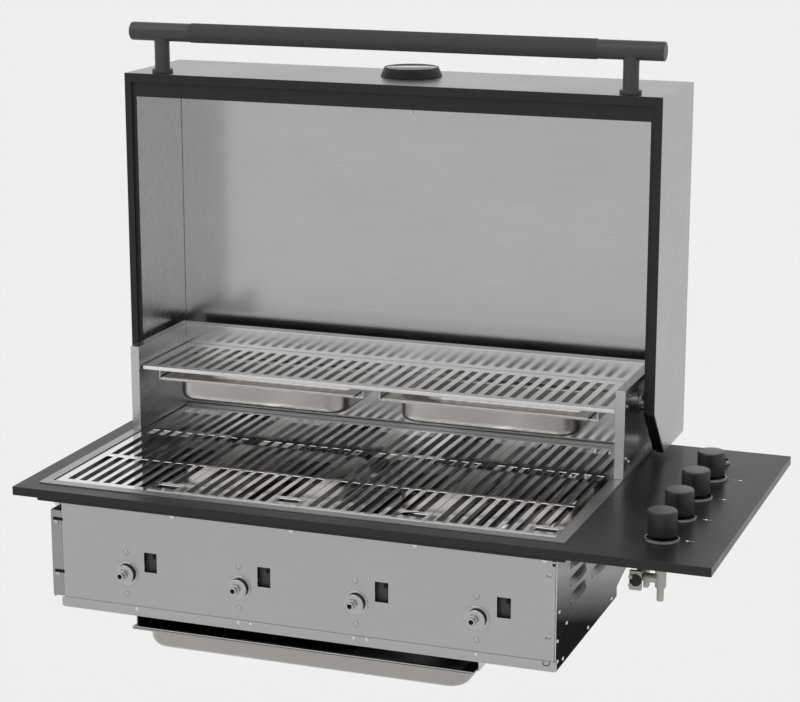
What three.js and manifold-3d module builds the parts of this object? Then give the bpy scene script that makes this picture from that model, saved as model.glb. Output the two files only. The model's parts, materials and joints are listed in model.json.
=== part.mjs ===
// Built-in four-burner gas barbecue: a black enamelled deck that drops into a bench cut-out, a
// stainless firebox hanging under it, cooking grates, a warming rack with two pans, a hinged
// double-skinned hood, side-mounted controls and a drip tray. Millimetres, +Z up.
//
// Every coordinate below is in the deck's own frame: x runs right from the deck's left end,
// y runs back from its front edge and z = 0 is its top face. The exported group is shifted so
// that its origin is the middle of the rear strip of the mounting frame's underside.

import * as THREE from 'three';
import { mergeVertices } from 'three/addons/utils/BufferGeometryUtils.js';
import Module from 'manifold-3d';

const wasm = await Module();
wasm.setup();

// ---------------------------------------------------------------- driving dimensions
const GAP = 0.3;                         // clearance between touching pieces
const SHEET = 1.5;                       // thin stainless sheet
const PLATE = 2;                         // heavier stainless plate

const DECK = { width: 1110, depth: 587, edge: 14, top: 3, skirt: 3 };
const FRAME = { x0: 43, x1: 897, y0: 1, y1: 586, thick: 4 - GAP };
const FRAME_TOP = -DECK.edge - GAP;
const FRAME_UNDER = FRAME_TOP - FRAME.thick;

const COOK_CENTRE = 459;                 // mid plane of hood, rim, cheeks and grates
const RIM = { x0: 30, x1: 888, y0: 31, y1: 566, wallX0: 45.6, wallX1: 870, wallY0: 49, wallY1: 531 };
const LEDGE_TOP = -8.5;
const GRATE = { count: 4, width: 204.4, pitch: 205.2, depth: 478.5, thick: 8.5, x0: 47.6, y0: 50.5 };
const SLOT = { count: 9, pitch: 20.6, width: 12 };

const CHEEK = { inner: 45, outer: 29.5, y0: 357, y1: 542.7, foot: 2.1, top: 146, lip: 9 };
const SPLASH = { y: 543, flange: 22 };
const RACK = { x0: 48, x1: 870, y0: 365, y1: 541.5, top: 112.5, lip: 6, slots: 37, pitch: 21.54 };
const RUNNER = { width: 369, foot: 24, underside: 91, y0: 368, y1: 539.5 };
const PAN = { width: 348.5, depth: 163, y0: 366, overhang: 22, frontLap: 7, height: 39.3, radius: 35 };
const PAN_STATIONS = [{ runner: 77, pan: 81.6 }, { runner: 474, pan: 478.6 }];

const BOX = { x0: 54, x1: 880, front: 22, rear: 545, floorEnd: 366.5, floor: -195.5, knee: -179, heel: -137 };
const SIDE_REAR = 557.5;                 // the side panels run on behind the rear wall
const LEFT_FLANGE = { x1: 73, low: -179, high: -38, relief: 56 };
const LOUVRE = { y0: 92, z0: -115, length: 84, height: 12, pitchY: 120, pitchZ: 27.5, columns: 3, rows: 3 };
const BURNER = { first: 183.5, pitch: 191.4, height: -128.3, y0: 40, y1: 505, width: 60, rise: 30 };
const TAMER = { width: 122, y0: 50, y1: 530, foot: -71.7, ridge: -44 };
const TRAY = { x0: 191.6, x1: 753.8, y0: 21, y1: 345, flange: -214.5, floor: -251, lap: 16, radius: 34 };
const RAIL = { outset: 2.4, setBack: 20, top: 12, foot: 14 };

const HOOD = {
  x0: -1.2, x1: 919.2, front: 423, back: 633, top: 598.3, base: 12, cutZ: 92, cutY: 494, rearEdge: 571,
};
const HINGE = { y: 510.5, z: 89.5, pin: 6, clearance: 0.08, boss: 13.5, flange: 18, facets: 32 };
const LINER = { x0: 15.5, top: 561, back: 602, front: 430.3 };
const TRIM = { outer: 10.8, inner: 17.4, topOuter: 14.5, topInner: 39, face: 2.7, step: 4.3 };
const HANDLE = {
  y: 450, z: 666, bar: 15.2, grip: 16.1, post: 13, foot: 17.5, x0: 2.6, postX: 56.8, gripX: 111,
};
const GAUGE = { x: 463, y: 550, base: 50.7, rim: 44.8, height: 15, well: 42.6 };

const KNOB = { x: 1014.3, y0: 99.5, pitch: 106.8, radius: 21.85, bottom: 8.2, top: 45.2 };
const IGNITER_Y = 508;
const MANIFOLD = { x: 980.5, z: -62, radius: 8.6, y0: 84, y1: 470 };
const TUBE = { radius: 4, laneX: 1040, laneY: 566, top: -36, drop: 11, bend: 14 };

const ORIGIN = { x: (FRAME.x0 + FRAME.x1) / 2, y: 566, z: FRAME_UNDER };

// ---------------------------------------------------------------- finishes
const finish = (color, roughness, metalness) =>
  new THREE.MeshStandardMaterial({ color, roughness, metalness });
const brushed = () => finish(0xa6a6a6, 0.35, 1);
const polished = () => finish(0xc4c4c4, 0.18, 1);
const enamel = () => finish(0x2e2e2f, 0.45, 0.1);
const blackGrip = () => finish(0x262627, 0.6, 0);
const brass = () => finish(0xa89a78, 0.35, 1);

// ---------------------------------------------------------------- geometry helpers
// Axis mappings that keep a right-handed frame: the extruded direction becomes X, Y or Z.
const TO_X = new THREE.Matrix4().makeBasis(
  new THREE.Vector3(0, 1, 0), new THREE.Vector3(0, 0, 1), new THREE.Vector3(1, 0, 0));
const TO_Y = new THREE.Matrix4().makeBasis(
  new THREE.Vector3(0, 0, 1), new THREE.Vector3(1, 0, 0), new THREE.Vector3(0, 1, 0));

const rectangle = (u0, u1, v0, v1) => [[u0, v0], [u1, v0], [u1, v1], [u0, v1]];

function circle(u, v, radius, segments = 16) {
  return Array.from({ length: segments }, (_, i) => {
    const angle = (2 * Math.PI * i) / segments;
    return [u + radius * Math.cos(angle), v + radius * Math.sin(angle)];
  });
}

function roundedRectangle(u0, u1, v0, v1, radius, segments = 4) {
  const corners = [[u1 - radius, v1 - radius], [u0 + radius, v1 - radius],
    [u0 + radius, v0 + radius], [u1 - radius, v0 + radius]];
  return corners.flatMap(([cu, cv], quarter) =>
    Array.from({ length: segments + 1 }, (_, i) => {
      const angle = (Math.PI / 2) * (quarter + i / segments);
      return [cu + radius * Math.cos(angle), cv + radius * Math.sin(angle)];
    }));
}

// A band of even thickness along an open line, with mitred corners; it lies left of the line.
function band(line, thickness) {
  const normal = ([ax, ay], [bx, by]) => {
    const length = Math.hypot(bx - ax, by - ay);
    return [-(by - ay) / length, (bx - ax) / length];
  };
  const offset = line.map((point, i) => {
    const before = normal(line[Math.max(i - 1, 0)], line[Math.max(i, 1)]);
    const after = normal(line[Math.min(i, line.length - 2)], line[Math.min(i + 1, line.length - 1)]);
    const scale = thickness / (1 + before[0] * after[0] + before[1] * after[1]);
    return [point[0] + (before[0] + after[0]) * scale, point[1] + (before[1] + after[1]) * scale];
  });
  return [...line, ...offset.reverse()];
}

function extrude(outline, depth) {
  const shape = new THREE.Shape(outline.map(([u, v]) => new THREE.Vector2(u, v)));
  return new THREE.ExtrudeGeometry(shape, { depth, bevelEnabled: false });
}

const prismZ = (outline, z0, z1) => extrude(outline, z1 - z0).translate(0, 0, z0);
const prismX = (outline, x0, x1) => extrude(outline, x1 - x0).applyMatrix4(TO_X).translate(x0, 0, 0);
const prismY = (outline, y0, y1) =>
  extrude(outline.map(([x, z]) => [z, x]), y1 - y0).applyMatrix4(TO_Y).translate(0, y0, 0);

function box(x0, x1, y0, y1, z0, z1) {
  return new THREE.BoxGeometry(x1 - x0, y1 - y0, z1 - z0)
    .translate((x0 + x1) / 2, (y0 + y1) / 2, (z0 + z1) / 2);
}

// A turned piece about +Z from [radius, height] points that start and end on the axis, or close.
function turned(profile, segments = 20) {
  const points = profile.map(([radius, height]) => new THREE.Vector2(radius, height));
  return new THREE.LatheGeometry(points, segments).rotateX(Math.PI / 2);
}

const turnedAlongX = (profile, segments) => turned(profile, segments).rotateY(Math.PI / 2);
const turnedAlongY = (profile, segments) => turned(profile, segments).rotateX(-Math.PI / 2);
const rod = (radius, from, to) => [[0, from], [radius, from], [radius, to], [0, to]];
const ring = (inner, outer, from, to) =>
  [[inner, from], [outer, from], [outer, to], [inner, to], [inner, from]];

function toSolid(geometry) {
  const bare = geometry.clone();
  bare.deleteAttribute('normal');
  bare.deleteAttribute('uv');
  const merged = mergeVertices(bare, 1e-4);
  return new wasm.Manifold(new wasm.Mesh({
    numProp: 3,
    vertProperties: new Float32Array(merged.attributes.position.array),
    triVerts: new Uint32Array(merged.index.array),
  }));
}

function toGeometry(solid) {
  const mesh = solid.getMesh();
  const geometry = new THREE.BufferGeometry();
  geometry.setAttribute('position', new THREE.BufferAttribute(new Float32Array(mesh.vertProperties), 3));
  geometry.setIndex(new THREE.BufferAttribute(new Uint32Array(mesh.triVerts), 1));
  geometry.computeVertexNormals();
  return geometry;
}

const join = (...pieces) => toGeometry(pieces.map(toSolid).reduce((sum, piece) => sum.add(piece)));
const cut = (base, ...tools) =>
  toGeometry(tools.map(toSolid).reduce((rest, tool) => rest.subtract(tool), toSolid(base)));

// A prism with holes right through it; `prism` is one of the three prism functions above.
const pierced = (prism, outline, from, to, holes) =>
  cut(prism(outline, from, to), ...holes.map((hole) => prism(hole, from - 1, to + 1)));

// The same piece on the other side of the cooking area's mid plane, faces still pointing out.
function mirrored(geometry) {
  const copy = geometry.index ? geometry.toNonIndexed() : geometry.clone();
  const position = copy.attributes.position;
  for (let i = 0; i < position.count; i += 3) {
    const corners = [0, 2, 1].map((k) =>
      [2 * COOK_CENTRE - position.getX(i + k), position.getY(i + k), position.getZ(i + k)]);
    corners.forEach(([x, y, z], k) => position.setXYZ(i + k, x, y, z));
  }
  copy.computeVertexNormals();
  return copy;
}

// A smooth route through corner points, each corner rounded by the same bend radius.
class BentLine extends THREE.Curve {
  constructor(corners, bend, arcSteps = 4) {
    super();
    const points = corners.map((corner) => new THREE.Vector3(...corner));
    this.samples = [points[0]];
    for (let i = 1; i < points.length - 1; i += 1) {
      const back = points[i - 1].clone().sub(points[i]).setLength(bend);
      const ahead = points[i + 1].clone().sub(points[i]).setLength(bend);
      const arc = new THREE.QuadraticBezierCurve3(
        points[i].clone().add(back), points[i], points[i].clone().add(ahead));
      this.samples.push(...arc.getPoints(arcSteps));
    }
    this.samples.push(points[points.length - 1]);
  }

  getPoint(t, target = new THREE.Vector3()) {
    const place = t * (this.samples.length - 1);
    const index = Math.min(Math.floor(place), this.samples.length - 2);
    return target.lerpVectors(this.samples[index], this.samples[index + 1], place - index);
  }

  getPointAt(u, target) {
    return this.getPoint(u, target);
  }

  getTangentAt(u, target = new THREE.Vector3()) {
    const half = 0.5 / (this.samples.length - 1);
    const before = this.getPoint(Math.max(u - half, 0));
    return target.copy(this.getPoint(Math.min(u + half, 1))).sub(before).normalize();
  }
}

function tube(route, radius, sides = 8) {
  const section = new THREE.Shape(circle(0, 0, radius, sides).map(([u, v]) => new THREE.Vector2(u, v)));
  return new THREE.ExtrudeGeometry(section, { steps: route.samples.length - 1, extrudePath: route });
}

const barbecue = new THREE.Group();
barbecue.position.set(-ORIGIN.x, -ORIGIN.y, -ORIGIN.z);

function add(name, geometry, material, x = 0, y = 0, z = 0) {
  const mesh = new THREE.Mesh(geometry, material);
  mesh.name = name;
  mesh.position.set(x, y, z);
  barbecue.add(mesh);
}

const knobY = (index) => KNOB.y0 + KNOB.pitch * index;
const burnerX = (index) => BURNER.first + BURNER.pitch * index;
const FOUR = [0, 1, 2, 3];

// ---------------------------------------------------------------- deck and mounting frame
function deckPlate() {
  const outline = rectangle(0, DECK.width, 0, DECK.depth);
  const fireOpening = rectangle(RIM.x0 + 10, RIM.x1 - 10, RIM.y0 + 10, RIM.y1 - 10);
  const stemHoles = FOUR.map((i) => circle(KNOB.x, knobY(i), 6, 12));
  const holes = [fireOpening, ...stemHoles, circle(KNOB.x, IGNITER_Y, 10)];
  const plate = pierced(prismZ, outline, -DECK.top, 0, holes);
  const inside = rectangle(DECK.skirt, DECK.width - DECK.skirt, DECK.skirt, DECK.depth - DECK.skirt);
  return join(plate, pierced(prismZ, outline, -DECK.edge, -DECK.top, [inside]));
}

function mountingFrame() {
  const opening = rectangle(BOX.x0 - GAP, BOX.x1 + GAP, BOX.front - GAP, SIDE_REAR + GAP);
  const outline = rectangle(FRAME.x0, FRAME.x1, FRAME.y0, FRAME.y1);
  return pierced(prismZ, outline, FRAME_UNDER, FRAME_TOP, [opening]);
}

// The rim lies on the deck, lines its opening and carries the grates on two ledges. A low
// step along the back keeps the grates clear of the back splash.
function grateRim() {
  const opening = rectangle(RIM.wallX0, RIM.wallX1, RIM.wallY0, RIM.wallY1);
  const wall = rectangle(RIM.wallX0 - SHEET, RIM.wallX1 + SHEET, RIM.wallY0 - SHEET, RIM.wallY1 + SHEET);
  const outline = rectangle(RIM.x0, RIM.x1, RIM.y0, RIM.y1);
  const flange = pierced(prismZ, outline, GAP, GAP + SHEET, [opening]);
  const lining = pierced(prismZ, wall, -DECK.edge, GAP + SHEET, [opening]);
  const ledge = (y0, y1) => box(RIM.wallX0, RIM.wallX1, y0, y1, LEDGE_TOP - SHEET, LEDGE_TOP);
  const step = box(RIM.wallX0, RIM.wallX1 + SHEET, RIM.wallY1, RIM.wallY1 + 9, GAP, GAP + 4);
  return join(flange, lining, ledge(RIM.wallY0 - 1, RIM.wallY0 + 9),
    ledge(RIM.wallY1 - 9, RIM.wallY1 + 1), step);
}

add('deck_plate', deckPlate(), enamel());
add('mounting_frame', mountingFrame(), enamel());
add('grate_rim', grateRim(), brushed());

// ---------------------------------------------------------------- cooking grates
// Three rows of slots run front to back. The last two slots of the front row stop short
// of a lifting hole in the front right corner.
function grate() {
  const firstSlot = (GRATE.width - SLOT.pitch * (SLOT.count - 1) - SLOT.width) / 2;
  const rows = [[16.5, 152.5], [164.5, 320.5], [332.5, 466.5]];
  const shortStart = 50;
  const holes = rows.flatMap(([y0, y1], row) =>
    Array.from({ length: SLOT.count }, (_, i) => {
      const x = firstSlot + SLOT.pitch * i;
      const shortened = row === 0 && i >= SLOT.count - 2;
      return rectangle(x, x + SLOT.width, shortened ? shortStart : y0, y1);
    }));
  const liftingHole = rectangle(GRATE.width - 41, GRATE.width - 6, 23.5, 38.5);
  const outline = rectangle(0, GRATE.width, 0, GRATE.depth);
  return pierced(prismZ, outline, 0, GRATE.thick, [...holes, liftingHole]);
}

const grateGeometry = grate();
for (let i = 0; i < GRATE.count; i += 1) {
  const x = GRATE.x0 + GRATE.pitch * i;
  add(`grate_${i + 1}`, grateGeometry, polished(), x, GRATE.y0, LEDGE_TOP + GAP);
}

// ---------------------------------------------------------------- cheeks and back splash
// Each cheek is a channel open outwards, with small return lips and two tabs for the rack.
function cheek() {
  const { inner, outer, y0, y1, foot, top, lip } = CHEEK;
  const web = box(inner - PLATE, inner, y0, y1, foot, top);
  const frontFlange = box(outer, inner, y0, y0 + PLATE, foot, top);
  const topFlange = box(outer, inner, y0, y1, top - PLATE, top);
  const footFlange = box(outer, inner, y0, y1, foot, foot + PLATE);
  const topLip = box(outer, outer + PLATE, y0, y1, top - lip, top);
  const footLip = box(outer, outer + PLATE, y0, y1, foot, foot + lip);
  const underRack = RACK.top - PLATE - GAP;
  const tab = (y) => box(inner - 1, inner + 9, y, y + 20, underRack - PLATE, underRack);
  return join(web, frontFlange, topFlange, footFlange, topLip, footLip, tab(384), tab(508));
}

function backSplash() {
  const { outer, foot, top } = CHEEK;
  const mirrorX = 2 * COOK_CENTRE - outer;
  const { y, flange } = SPLASH;
  return join(
    box(outer, mirrorX, y, y + PLATE, foot, top),
    box(outer, mirrorX, y, y + flange, top - PLATE, top),
    box(outer, mirrorX, y, y + flange, foot, foot + PLATE));
}

add('cheek_left', cheek(), brushed());
add('cheek_right', mirrored(cheek()), brushed());
add('back_splash', backSplash(), brushed());

// ---------------------------------------------------------------- warming rack and pans
function warmingRack() {
  const width = 11;
  const first = COOK_CENTRE - (RACK.pitch * (RACK.slots - 1) + width) / 2;
  const slots = Array.from({ length: RACK.slots }, (_, i) => {
    const x = first + RACK.pitch * i;
    return rectangle(x, x + width, RACK.y0 + 17, RACK.y1 - 19.5);
  });
  const outline = rectangle(RACK.x0, RACK.x1, RACK.y0, RACK.y1);
  const shelf = pierced(prismZ, outline, RACK.top - PLATE, RACK.top, slots);
  const lip = box(RACK.x0, RACK.x1, RACK.y0, RACK.y0 + PLATE, RACK.top - RACK.lip, RACK.top);
  return join(shelf, lip);
}

// A pair of J-shaped rails tied at the back, hanging under the rack; pans slide in on the feet.
function panRunner() {
  const { width, foot, underside, y0, y1 } = RUNNER;
  const hangTop = RACK.top - PLATE - GAP;
  const rail = (webX, inward) => join(
    box(webX, webX + SHEET, y0, y1, underside, hangTop),
    inward > 0
      ? box(webX, webX + foot, y0, y1, underside, underside + SHEET)
      : box(webX + SHEET - foot, webX + SHEET, y0, y1, underside, underside + SHEET));
  const tie = box(0, width, y1 - SHEET, y1, underside, hangTop);
  return join(rail(0, 1), rail(width - SHEET, -1), tie);
}

// A shallow tray with rounded corners, hung by its wide side flanges.
function hungTray({ width, depth, side, front, height, radius, flangeThick }) {
  const outer = roundedRectangle(side, width - side, front, depth - front, radius);
  const inner = roundedRectangle(side + SHEET, width - side - SHEET,
    front + SHEET, depth - front - SHEET, radius - SHEET);
  const flange = pierced(prismZ, rectangle(0, width, 0, depth), height - flangeThick, height, [inner]);
  const cup = cut(prismZ(outer, 0, height), prismZ(inner, SHEET, height + 1));
  return join(flange, cup);
}

add('warming_rack', warmingRack(), brushed());
const runnerGeometry = panRunner();
const panGeometry = hungTray({
  width: PAN.width, depth: PAN.depth, side: PAN.overhang, front: PAN.frontLap,
  height: PAN.height, radius: PAN.radius, flangeThick: PLATE,
});
PAN_STATIONS.forEach(({ runner, pan }, i) => {
  const side = i === 0 ? 'left' : 'right';
  const panFloor = RUNNER.underside + SHEET + GAP + PLATE - PAN.height;
  add(`pan_runner_${side}`, runnerGeometry, brushed(), runner, 0, 0);
  add(`pan_${side}`, panGeometry, brushed(), pan, PAN.y0, panFloor);
});

// ---------------------------------------------------------------- firebox
const boxTop = FRAME_TOP;
const shelfZ = TAMER.foot - GAP;

function frontPanel() {
  const spigots = FOUR.map((i) => circle(burnerX(i), BURNER.height, 14.5));
  const windows = FOUR.map((i) =>
    rectangle(burnerX(i) + 31.5, burnerX(i) + 52.8, -122.3, -90.4));
  const outline = rectangle(73.3, 877.8, -182, boxTop);
  const face = pierced(prismY, outline, BOX.front, BOX.front + SHEET, [...spigots, ...windows]);
  return join(face, box(75, 860, BOX.front, 64, shelfZ - SHEET, shelfZ));
}

// The floor's front edge folds up over the foot of the front panel; it drains to the tray.
function bottomPlate() {
  const drain = rectangle(232, 712, 62, 318);
  const outline = rectangle(BOX.x0 + 1.8, BOX.x1 - 1.8, BOX.front - 1.8, BOX.floorEnd - 1.8);
  const floor = pierced(prismZ, outline, BOX.floor, BOX.floor + SHEET, [drain]);
  const flange = box(70, 882, BOX.front - 1.8, BOX.front - GAP, BOX.floor + 1, -180);
  return join(floor, flange);
}

const sideOutline = [[BOX.front, boxTop], [BOX.front, BOX.floor - 0.5], [BOX.floorEnd, BOX.floor - 0.5],
  [BOX.floorEnd, BOX.knee], [SIDE_REAR, BOX.heel], [SIDE_REAR, boxTop]];

// The left side's front flange is shorter than the wall, whose corners are cut back beyond it.
function leftSide() {
  const { x1, low, high, relief } = LEFT_FLANGE;
  const flange = box(BOX.x0, x1, BOX.front, BOX.front + SHEET, low, high);
  const corners = [[BOX.front + relief, boxTop], [BOX.front + relief, high], [BOX.front, high],
    [BOX.front, low], [BOX.front + relief, low], [BOX.front + relief, BOX.floor - 0.5]];
  return join(prismX([...corners, ...sideOutline.slice(2)], BOX.x0, BOX.x0 + SHEET), flange);
}

function rightSide() {
  const louvres = [];
  for (let column = 0; column < LOUVRE.columns; column += 1) {
    for (let row = 0; row < LOUVRE.rows; row += 1) {
      const y = LOUVRE.y0 + LOUVRE.pitchY * column;
      const z = LOUVRE.z0 + LOUVRE.pitchZ * row;
      louvres.push(rectangle(y, y + LOUVRE.length, z, z + LOUVRE.height));
    }
  }
  const wall = pierced(prismX, sideOutline, BOX.x1 - SHEET, BOX.x1, louvres);
  const flangeFront = BOX.front + SHEET + GAP;
  return join(wall, box(862, BOX.x1, flangeFront, flangeFront + SHEET, -179, -78));
}

// One folded sheet: a short riser behind the floor, a slope and the back wall, with a shelf.
function rearWall() {
  const line = [[BOX.rear - SHEET, boxTop], [BOX.rear - SHEET, BOX.heel + GAP],
    [BOX.floorEnd, BOX.knee + GAP], [BOX.floorEnd, BOX.floor + SHEET]];
  const holes = FOUR.map((i) => turnedAlongY(rod(7, 0, 20), 12)
    .translate(burnerX(i), BOX.rear - 10, BURNER.height));
  const sheet = prismX(band(line, SHEET), BOX.x0 + 1.8, BOX.x1 - 1.8);
  return cut(join(sheet, box(75, 860, 516, BOX.rear - SHEET, shelfZ - SHEET, shelfZ)), ...holes);
}

function flameTamer() {
  const half = TAMER.width / 2;
  const line = [[-half, TAMER.foot], [-half + 8, TAMER.foot], [-6, TAMER.ridge], [6, TAMER.ridge],
    [half - 8, TAMER.foot], [half, TAMER.foot]];
  return prismY(band(line, SHEET), TAMER.y0, TAMER.y1);
}

// A flattened hollow burner with a round neck, a collar and a hexagonal jet stud at the
// front. Its hollow opens through the neck at the back.
function burner() {
  const { y0, y1, width, rise } = BURNER;
  const oval = (wide, high) => roundedRectangle(-wide / 2, wide / 2, -high / 2, high / 2, high / 2 - 1);
  const body = prismY(oval(width, rise), y0, y1);
  const hollow = prismY(oval(width - 2 * SHEET, rise - 2 * SHEET), y0 + 5 + SHEET, y1 - SHEET);
  const faceY = BOX.front - GAP;
  const front = turnedAlongY([[0, faceY - 8], [15.4, faceY - 8], [15.4, faceY - 4], [13, faceY - 4],
    [13, faceY - 1.2], [20, faceY - 1.2], [20, faceY], [13, faceY], [13, y0 + 5], [0, y0 + 5]], 20);
  const stud = turnedAlongY([[0, faceY - 20.5], [4.6, faceY - 20.5], [4.6, faceY - 13], [7, faceY - 13],
    [7, faceY - 7], [0, faceY - 7]], 12);
  const neckEnd = BOX.rear - SHEET - GAP;
  const neck = turnedAlongY(rod(7.5, y1 - 1, neckEnd), 12);
  const bore = turnedAlongY(rod(7.5 - SHEET, y1 - 10, neckEnd + 1), 12);
  return cut(join(body, front, stud, neck), turnedAlongY(rod(3, 0, 16), 8), hollow, bore);
}

add('front_panel', frontPanel(), brushed());
add('bottom_plate', bottomPlate(), brushed());
add('side_panel_left', leftSide(), brushed());
add('side_panel_right', rightSide(), brushed());
add('rear_wall', rearWall(), brushed());
const tamerGeometry = flameTamer();
const burnerGeometry = burner();
FOUR.forEach((i) => {
  add(`flame_tamer_${i + 1}`, tamerGeometry, brushed(), burnerX(i), 0, 0);
  add(`burner_${i + 1}`, burnerGeometry, polished(), burnerX(i), 0, BURNER.height);
});

// ---------------------------------------------------------------- drip tray and its rails
// Two C-shaped rails under the floor, one on each side of the tray, tied by a stop behind it.
function dripRails() {
  const top = BOX.floor - GAP;
  const footTop = TRAY.flange - PLATE - GAP;
  const y0 = TRAY.y0 + RAIL.setBack;
  const y1 = TRAY.y1 + 2;
  const left = TRAY.x0 - RAIL.outset;
  const right = TRAY.x1 + RAIL.outset;
  const pair = (width, z0, z1) =>
    [box(left, left + width, y0, y1, z0, z1), box(right - width, right, y0, y1, z0, z1)];
  return join(...pair(SHEET, footTop - SHEET, top), ...pair(RAIL.top, top - SHEET, top),
    ...pair(RAIL.foot, footTop - SHEET, footTop), box(left, right, y1 - SHEET, y1, footTop - SHEET, top));
}

// The tray hangs by its flanges, with a taller lip along the front one.
function dripTray() {
  const body = hungTray({
    width: TRAY.x1 - TRAY.x0, depth: TRAY.y1 - TRAY.y0, side: TRAY.lap, front: 11,
    height: TRAY.flange - TRAY.floor, radius: TRAY.radius, flangeThick: PLATE,
  }).translate(TRAY.x0, TRAY.y0, TRAY.floor);
  return join(body, box(TRAY.x0, TRAY.x1, TRAY.y0, TRAY.y0 + PLATE, TRAY.flange - 4, TRAY.flange + 1.5));
}

add('drip_rails', dripRails(), brushed());
add('drip_tray', dripTray(), brushed());

// ---------------------------------------------------------------- hood
// The opening's edge in the side view: down the front plane, then back along the lower cut.
const cutLength = Math.hypot(HOOD.cutY - HOOD.front, HOOD.cutZ - HOOD.base);
const cutNormal = [(HOOD.cutZ - HOOD.base) / cutLength, (HOOD.cutY - HOOD.front) / cutLength];

function openingLine(inset, topZ, baseZ) {
  const slope = (HOOD.cutY - HOOD.front) / (HOOD.cutZ - HOOD.base);
  const start = [HOOD.front + cutNormal[0] * inset, HOOD.cutZ + cutNormal[1] * inset];
  const knee = [HOOD.front + inset, start[1] - (HOOD.front + inset - start[0]) / slope];
  const foot = [start[0] + (start[1] - baseZ) * slope, baseZ];
  return [[HOOD.front + inset, topZ], knee, foot];
}

const sideProfile = (inset, topZ, backY, baseZ) =>
  [...openingLine(inset, topZ, baseZ), [backY, baseZ], [backY, topZ]];

function hoodShell() {
  const outer = prismX(sideProfile(TRIM.face + GAP, HOOD.top, HOOD.back, HOOD.base), HOOD.x0, HOOD.x1);
  const hollow = prismX(rectangle(HOOD.front - 50, HOOD.back - PLATE, HOOD.base + PLATE, HOOD.top - PLATE),
    HOOD.x0 + PLATE, HOOD.x1 - PLATE);
  const belowLiner = box(LINER.x0, 2 * COOK_CENTRE - LINER.x0, HOOD.front - 50, HOOD.rearEdge,
    HOOD.base - 10, HOOD.base + 10);
  const gaugeHole = turned(rod(4.5, HOOD.top - 10, HOOD.top + 10), 12).translate(GAUGE.x, GAUGE.y, 0);
  return cut(outer, hollow, belowLiner, gaugeHole);
}

const linerBase = HOOD.base + PLATE + GAP;

// The inner skin's back and top are one folded sheet that fits between its side walls.
function hoodLiner() {
  const { x0, top, back, front } = LINER;
  const inset = SHEET + GAP;
  const line = [[back, linerBase], [back, top], [front, top]];
  const sheet = prismX(band(line, SHEET), x0 + inset, 2 * COOK_CENTRE - x0 - inset);
  return cut(sheet, turned(rod(4.5, top - 10, top + 10), 12).translate(GAUGE.x, GAUGE.y, 0));
}

// Each inner side wall carries a hinge bush on its outer face.
function hoodInnerSide() {
  const { x0, top, back, front } = LINER;
  const wall = prismX(sideProfile(front - HOOD.front, top, back, linerBase), x0, x0 + SHEET);
  const bush = turnedAlongX(rod(HINGE.boss, 5, x0 + 1), HINGE.facets).translate(0, HINGE.y, HINGE.z);
  const bore = turnedAlongX(rod(HINGE.pin + HINGE.clearance, 0, 40), HINGE.facets)
    .translate(0, HINGE.y, HINGE.z);
  return cut(join(wall, bush), bore);
}

// Black edging round the opening: a front face, a small step back and an inner face.
function hoodTrim() {
  const side = (x0, x1, from, to, topZ, baseZ) =>
    prismX([...openingLine(from, topZ, baseZ), ...openingLine(to, topZ, baseZ).reverse()], x0, x1);
  const { outer, inner, topOuter, topInner, face, step } = TRIM;
  const deep = step + face;
  const innerTop = HOOD.top - topOuter + 1;
  const innerBase = HOOD.base + PLATE + GAP;
  const leftPieces = [side(HOOD.x0, outer, 0, face, HOOD.top - 1, HOOD.base),
    side(outer - 2, outer, 0.1, deep, innerTop, innerBase),
    side(outer - 2, inner, step, deep, innerTop, innerBase)];
  const top = (z0, z1, from, to) => box(HOOD.x0 + (from > 0 ? outer - 2 : 0),
    HOOD.x1 - (from > 0 ? outer - 2 : 0), HOOD.front + from, HOOD.front + to, z0, z1);
  return join(...leftPieces, ...leftPieces.map(mirrored),
    top(HOOD.top - topOuter, HOOD.top, 0, face),
    top(HOOD.top - topOuter, HOOD.top - topOuter + 2, 0.1, deep),
    top(HOOD.top - topInner, HOOD.top - topOuter + 2, step, deep));
}

// A stub bolted to the cheek's outer face, with a boss and the pin that the hood turns on.
function hingePin() {
  const cheekFace = CHEEK.inner - PLATE - GAP;
  const flangeFace = cheekFace - 2.5;
  const profile = [[0, 4], [HINGE.pin, 4], [HINGE.pin, 23], [HINGE.boss, 23], [HINGE.boss, flangeFace],
    [HINGE.flange, flangeFace], [HINGE.flange, cheekFace], [0, cheekFace]];
  return turnedAlongX(profile, HINGE.facets).translate(0, HINGE.y, HINGE.z);
}

add('hood_shell', hoodShell(), brushed());
add('hood_liner', hoodLiner(), brushed());
add('hood_inner_side_left', hoodInnerSide(), brushed());
add('hood_inner_side_right', mirrored(hoodInnerSide()), brushed());
add('hood_trim', hoodTrim(), enamel());
add('hinge_pin_left', hingePin(), polished());
add('hinge_pin_right', mirrored(hingePin()), polished());

// ---------------------------------------------------------------- handle
function handleBar() {
  return turnedAlongX(rod(HANDLE.bar, HANDLE.x0, 2 * COOK_CENTRE - HANDLE.x0), 24)
    .translate(0, HANDLE.y, HANDLE.z);
}

function handleGrip() {
  return turnedAlongX(ring(HANDLE.bar + GAP, HANDLE.grip, HANDLE.gripX, 2 * COOK_CENTRE - HANDLE.gripX), 24)
    .translate(0, HANDLE.y, HANDLE.z);
}

function handlePost() {
  const base = HOOD.top + GAP;
  const post = turned([[0, base], [HANDLE.foot, base], [HANDLE.foot, base + 6], [HANDLE.post, base + 6],
    [HANDLE.post, HANDLE.z], [0, HANDLE.z]], 20).translate(HANDLE.postX, HANDLE.y, 0);
  const clearance = turnedAlongX(rod(HANDLE.bar + GAP, -10, 120), 24).translate(0, HANDLE.y, HANDLE.z);
  return cut(post, clearance);
}

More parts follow.
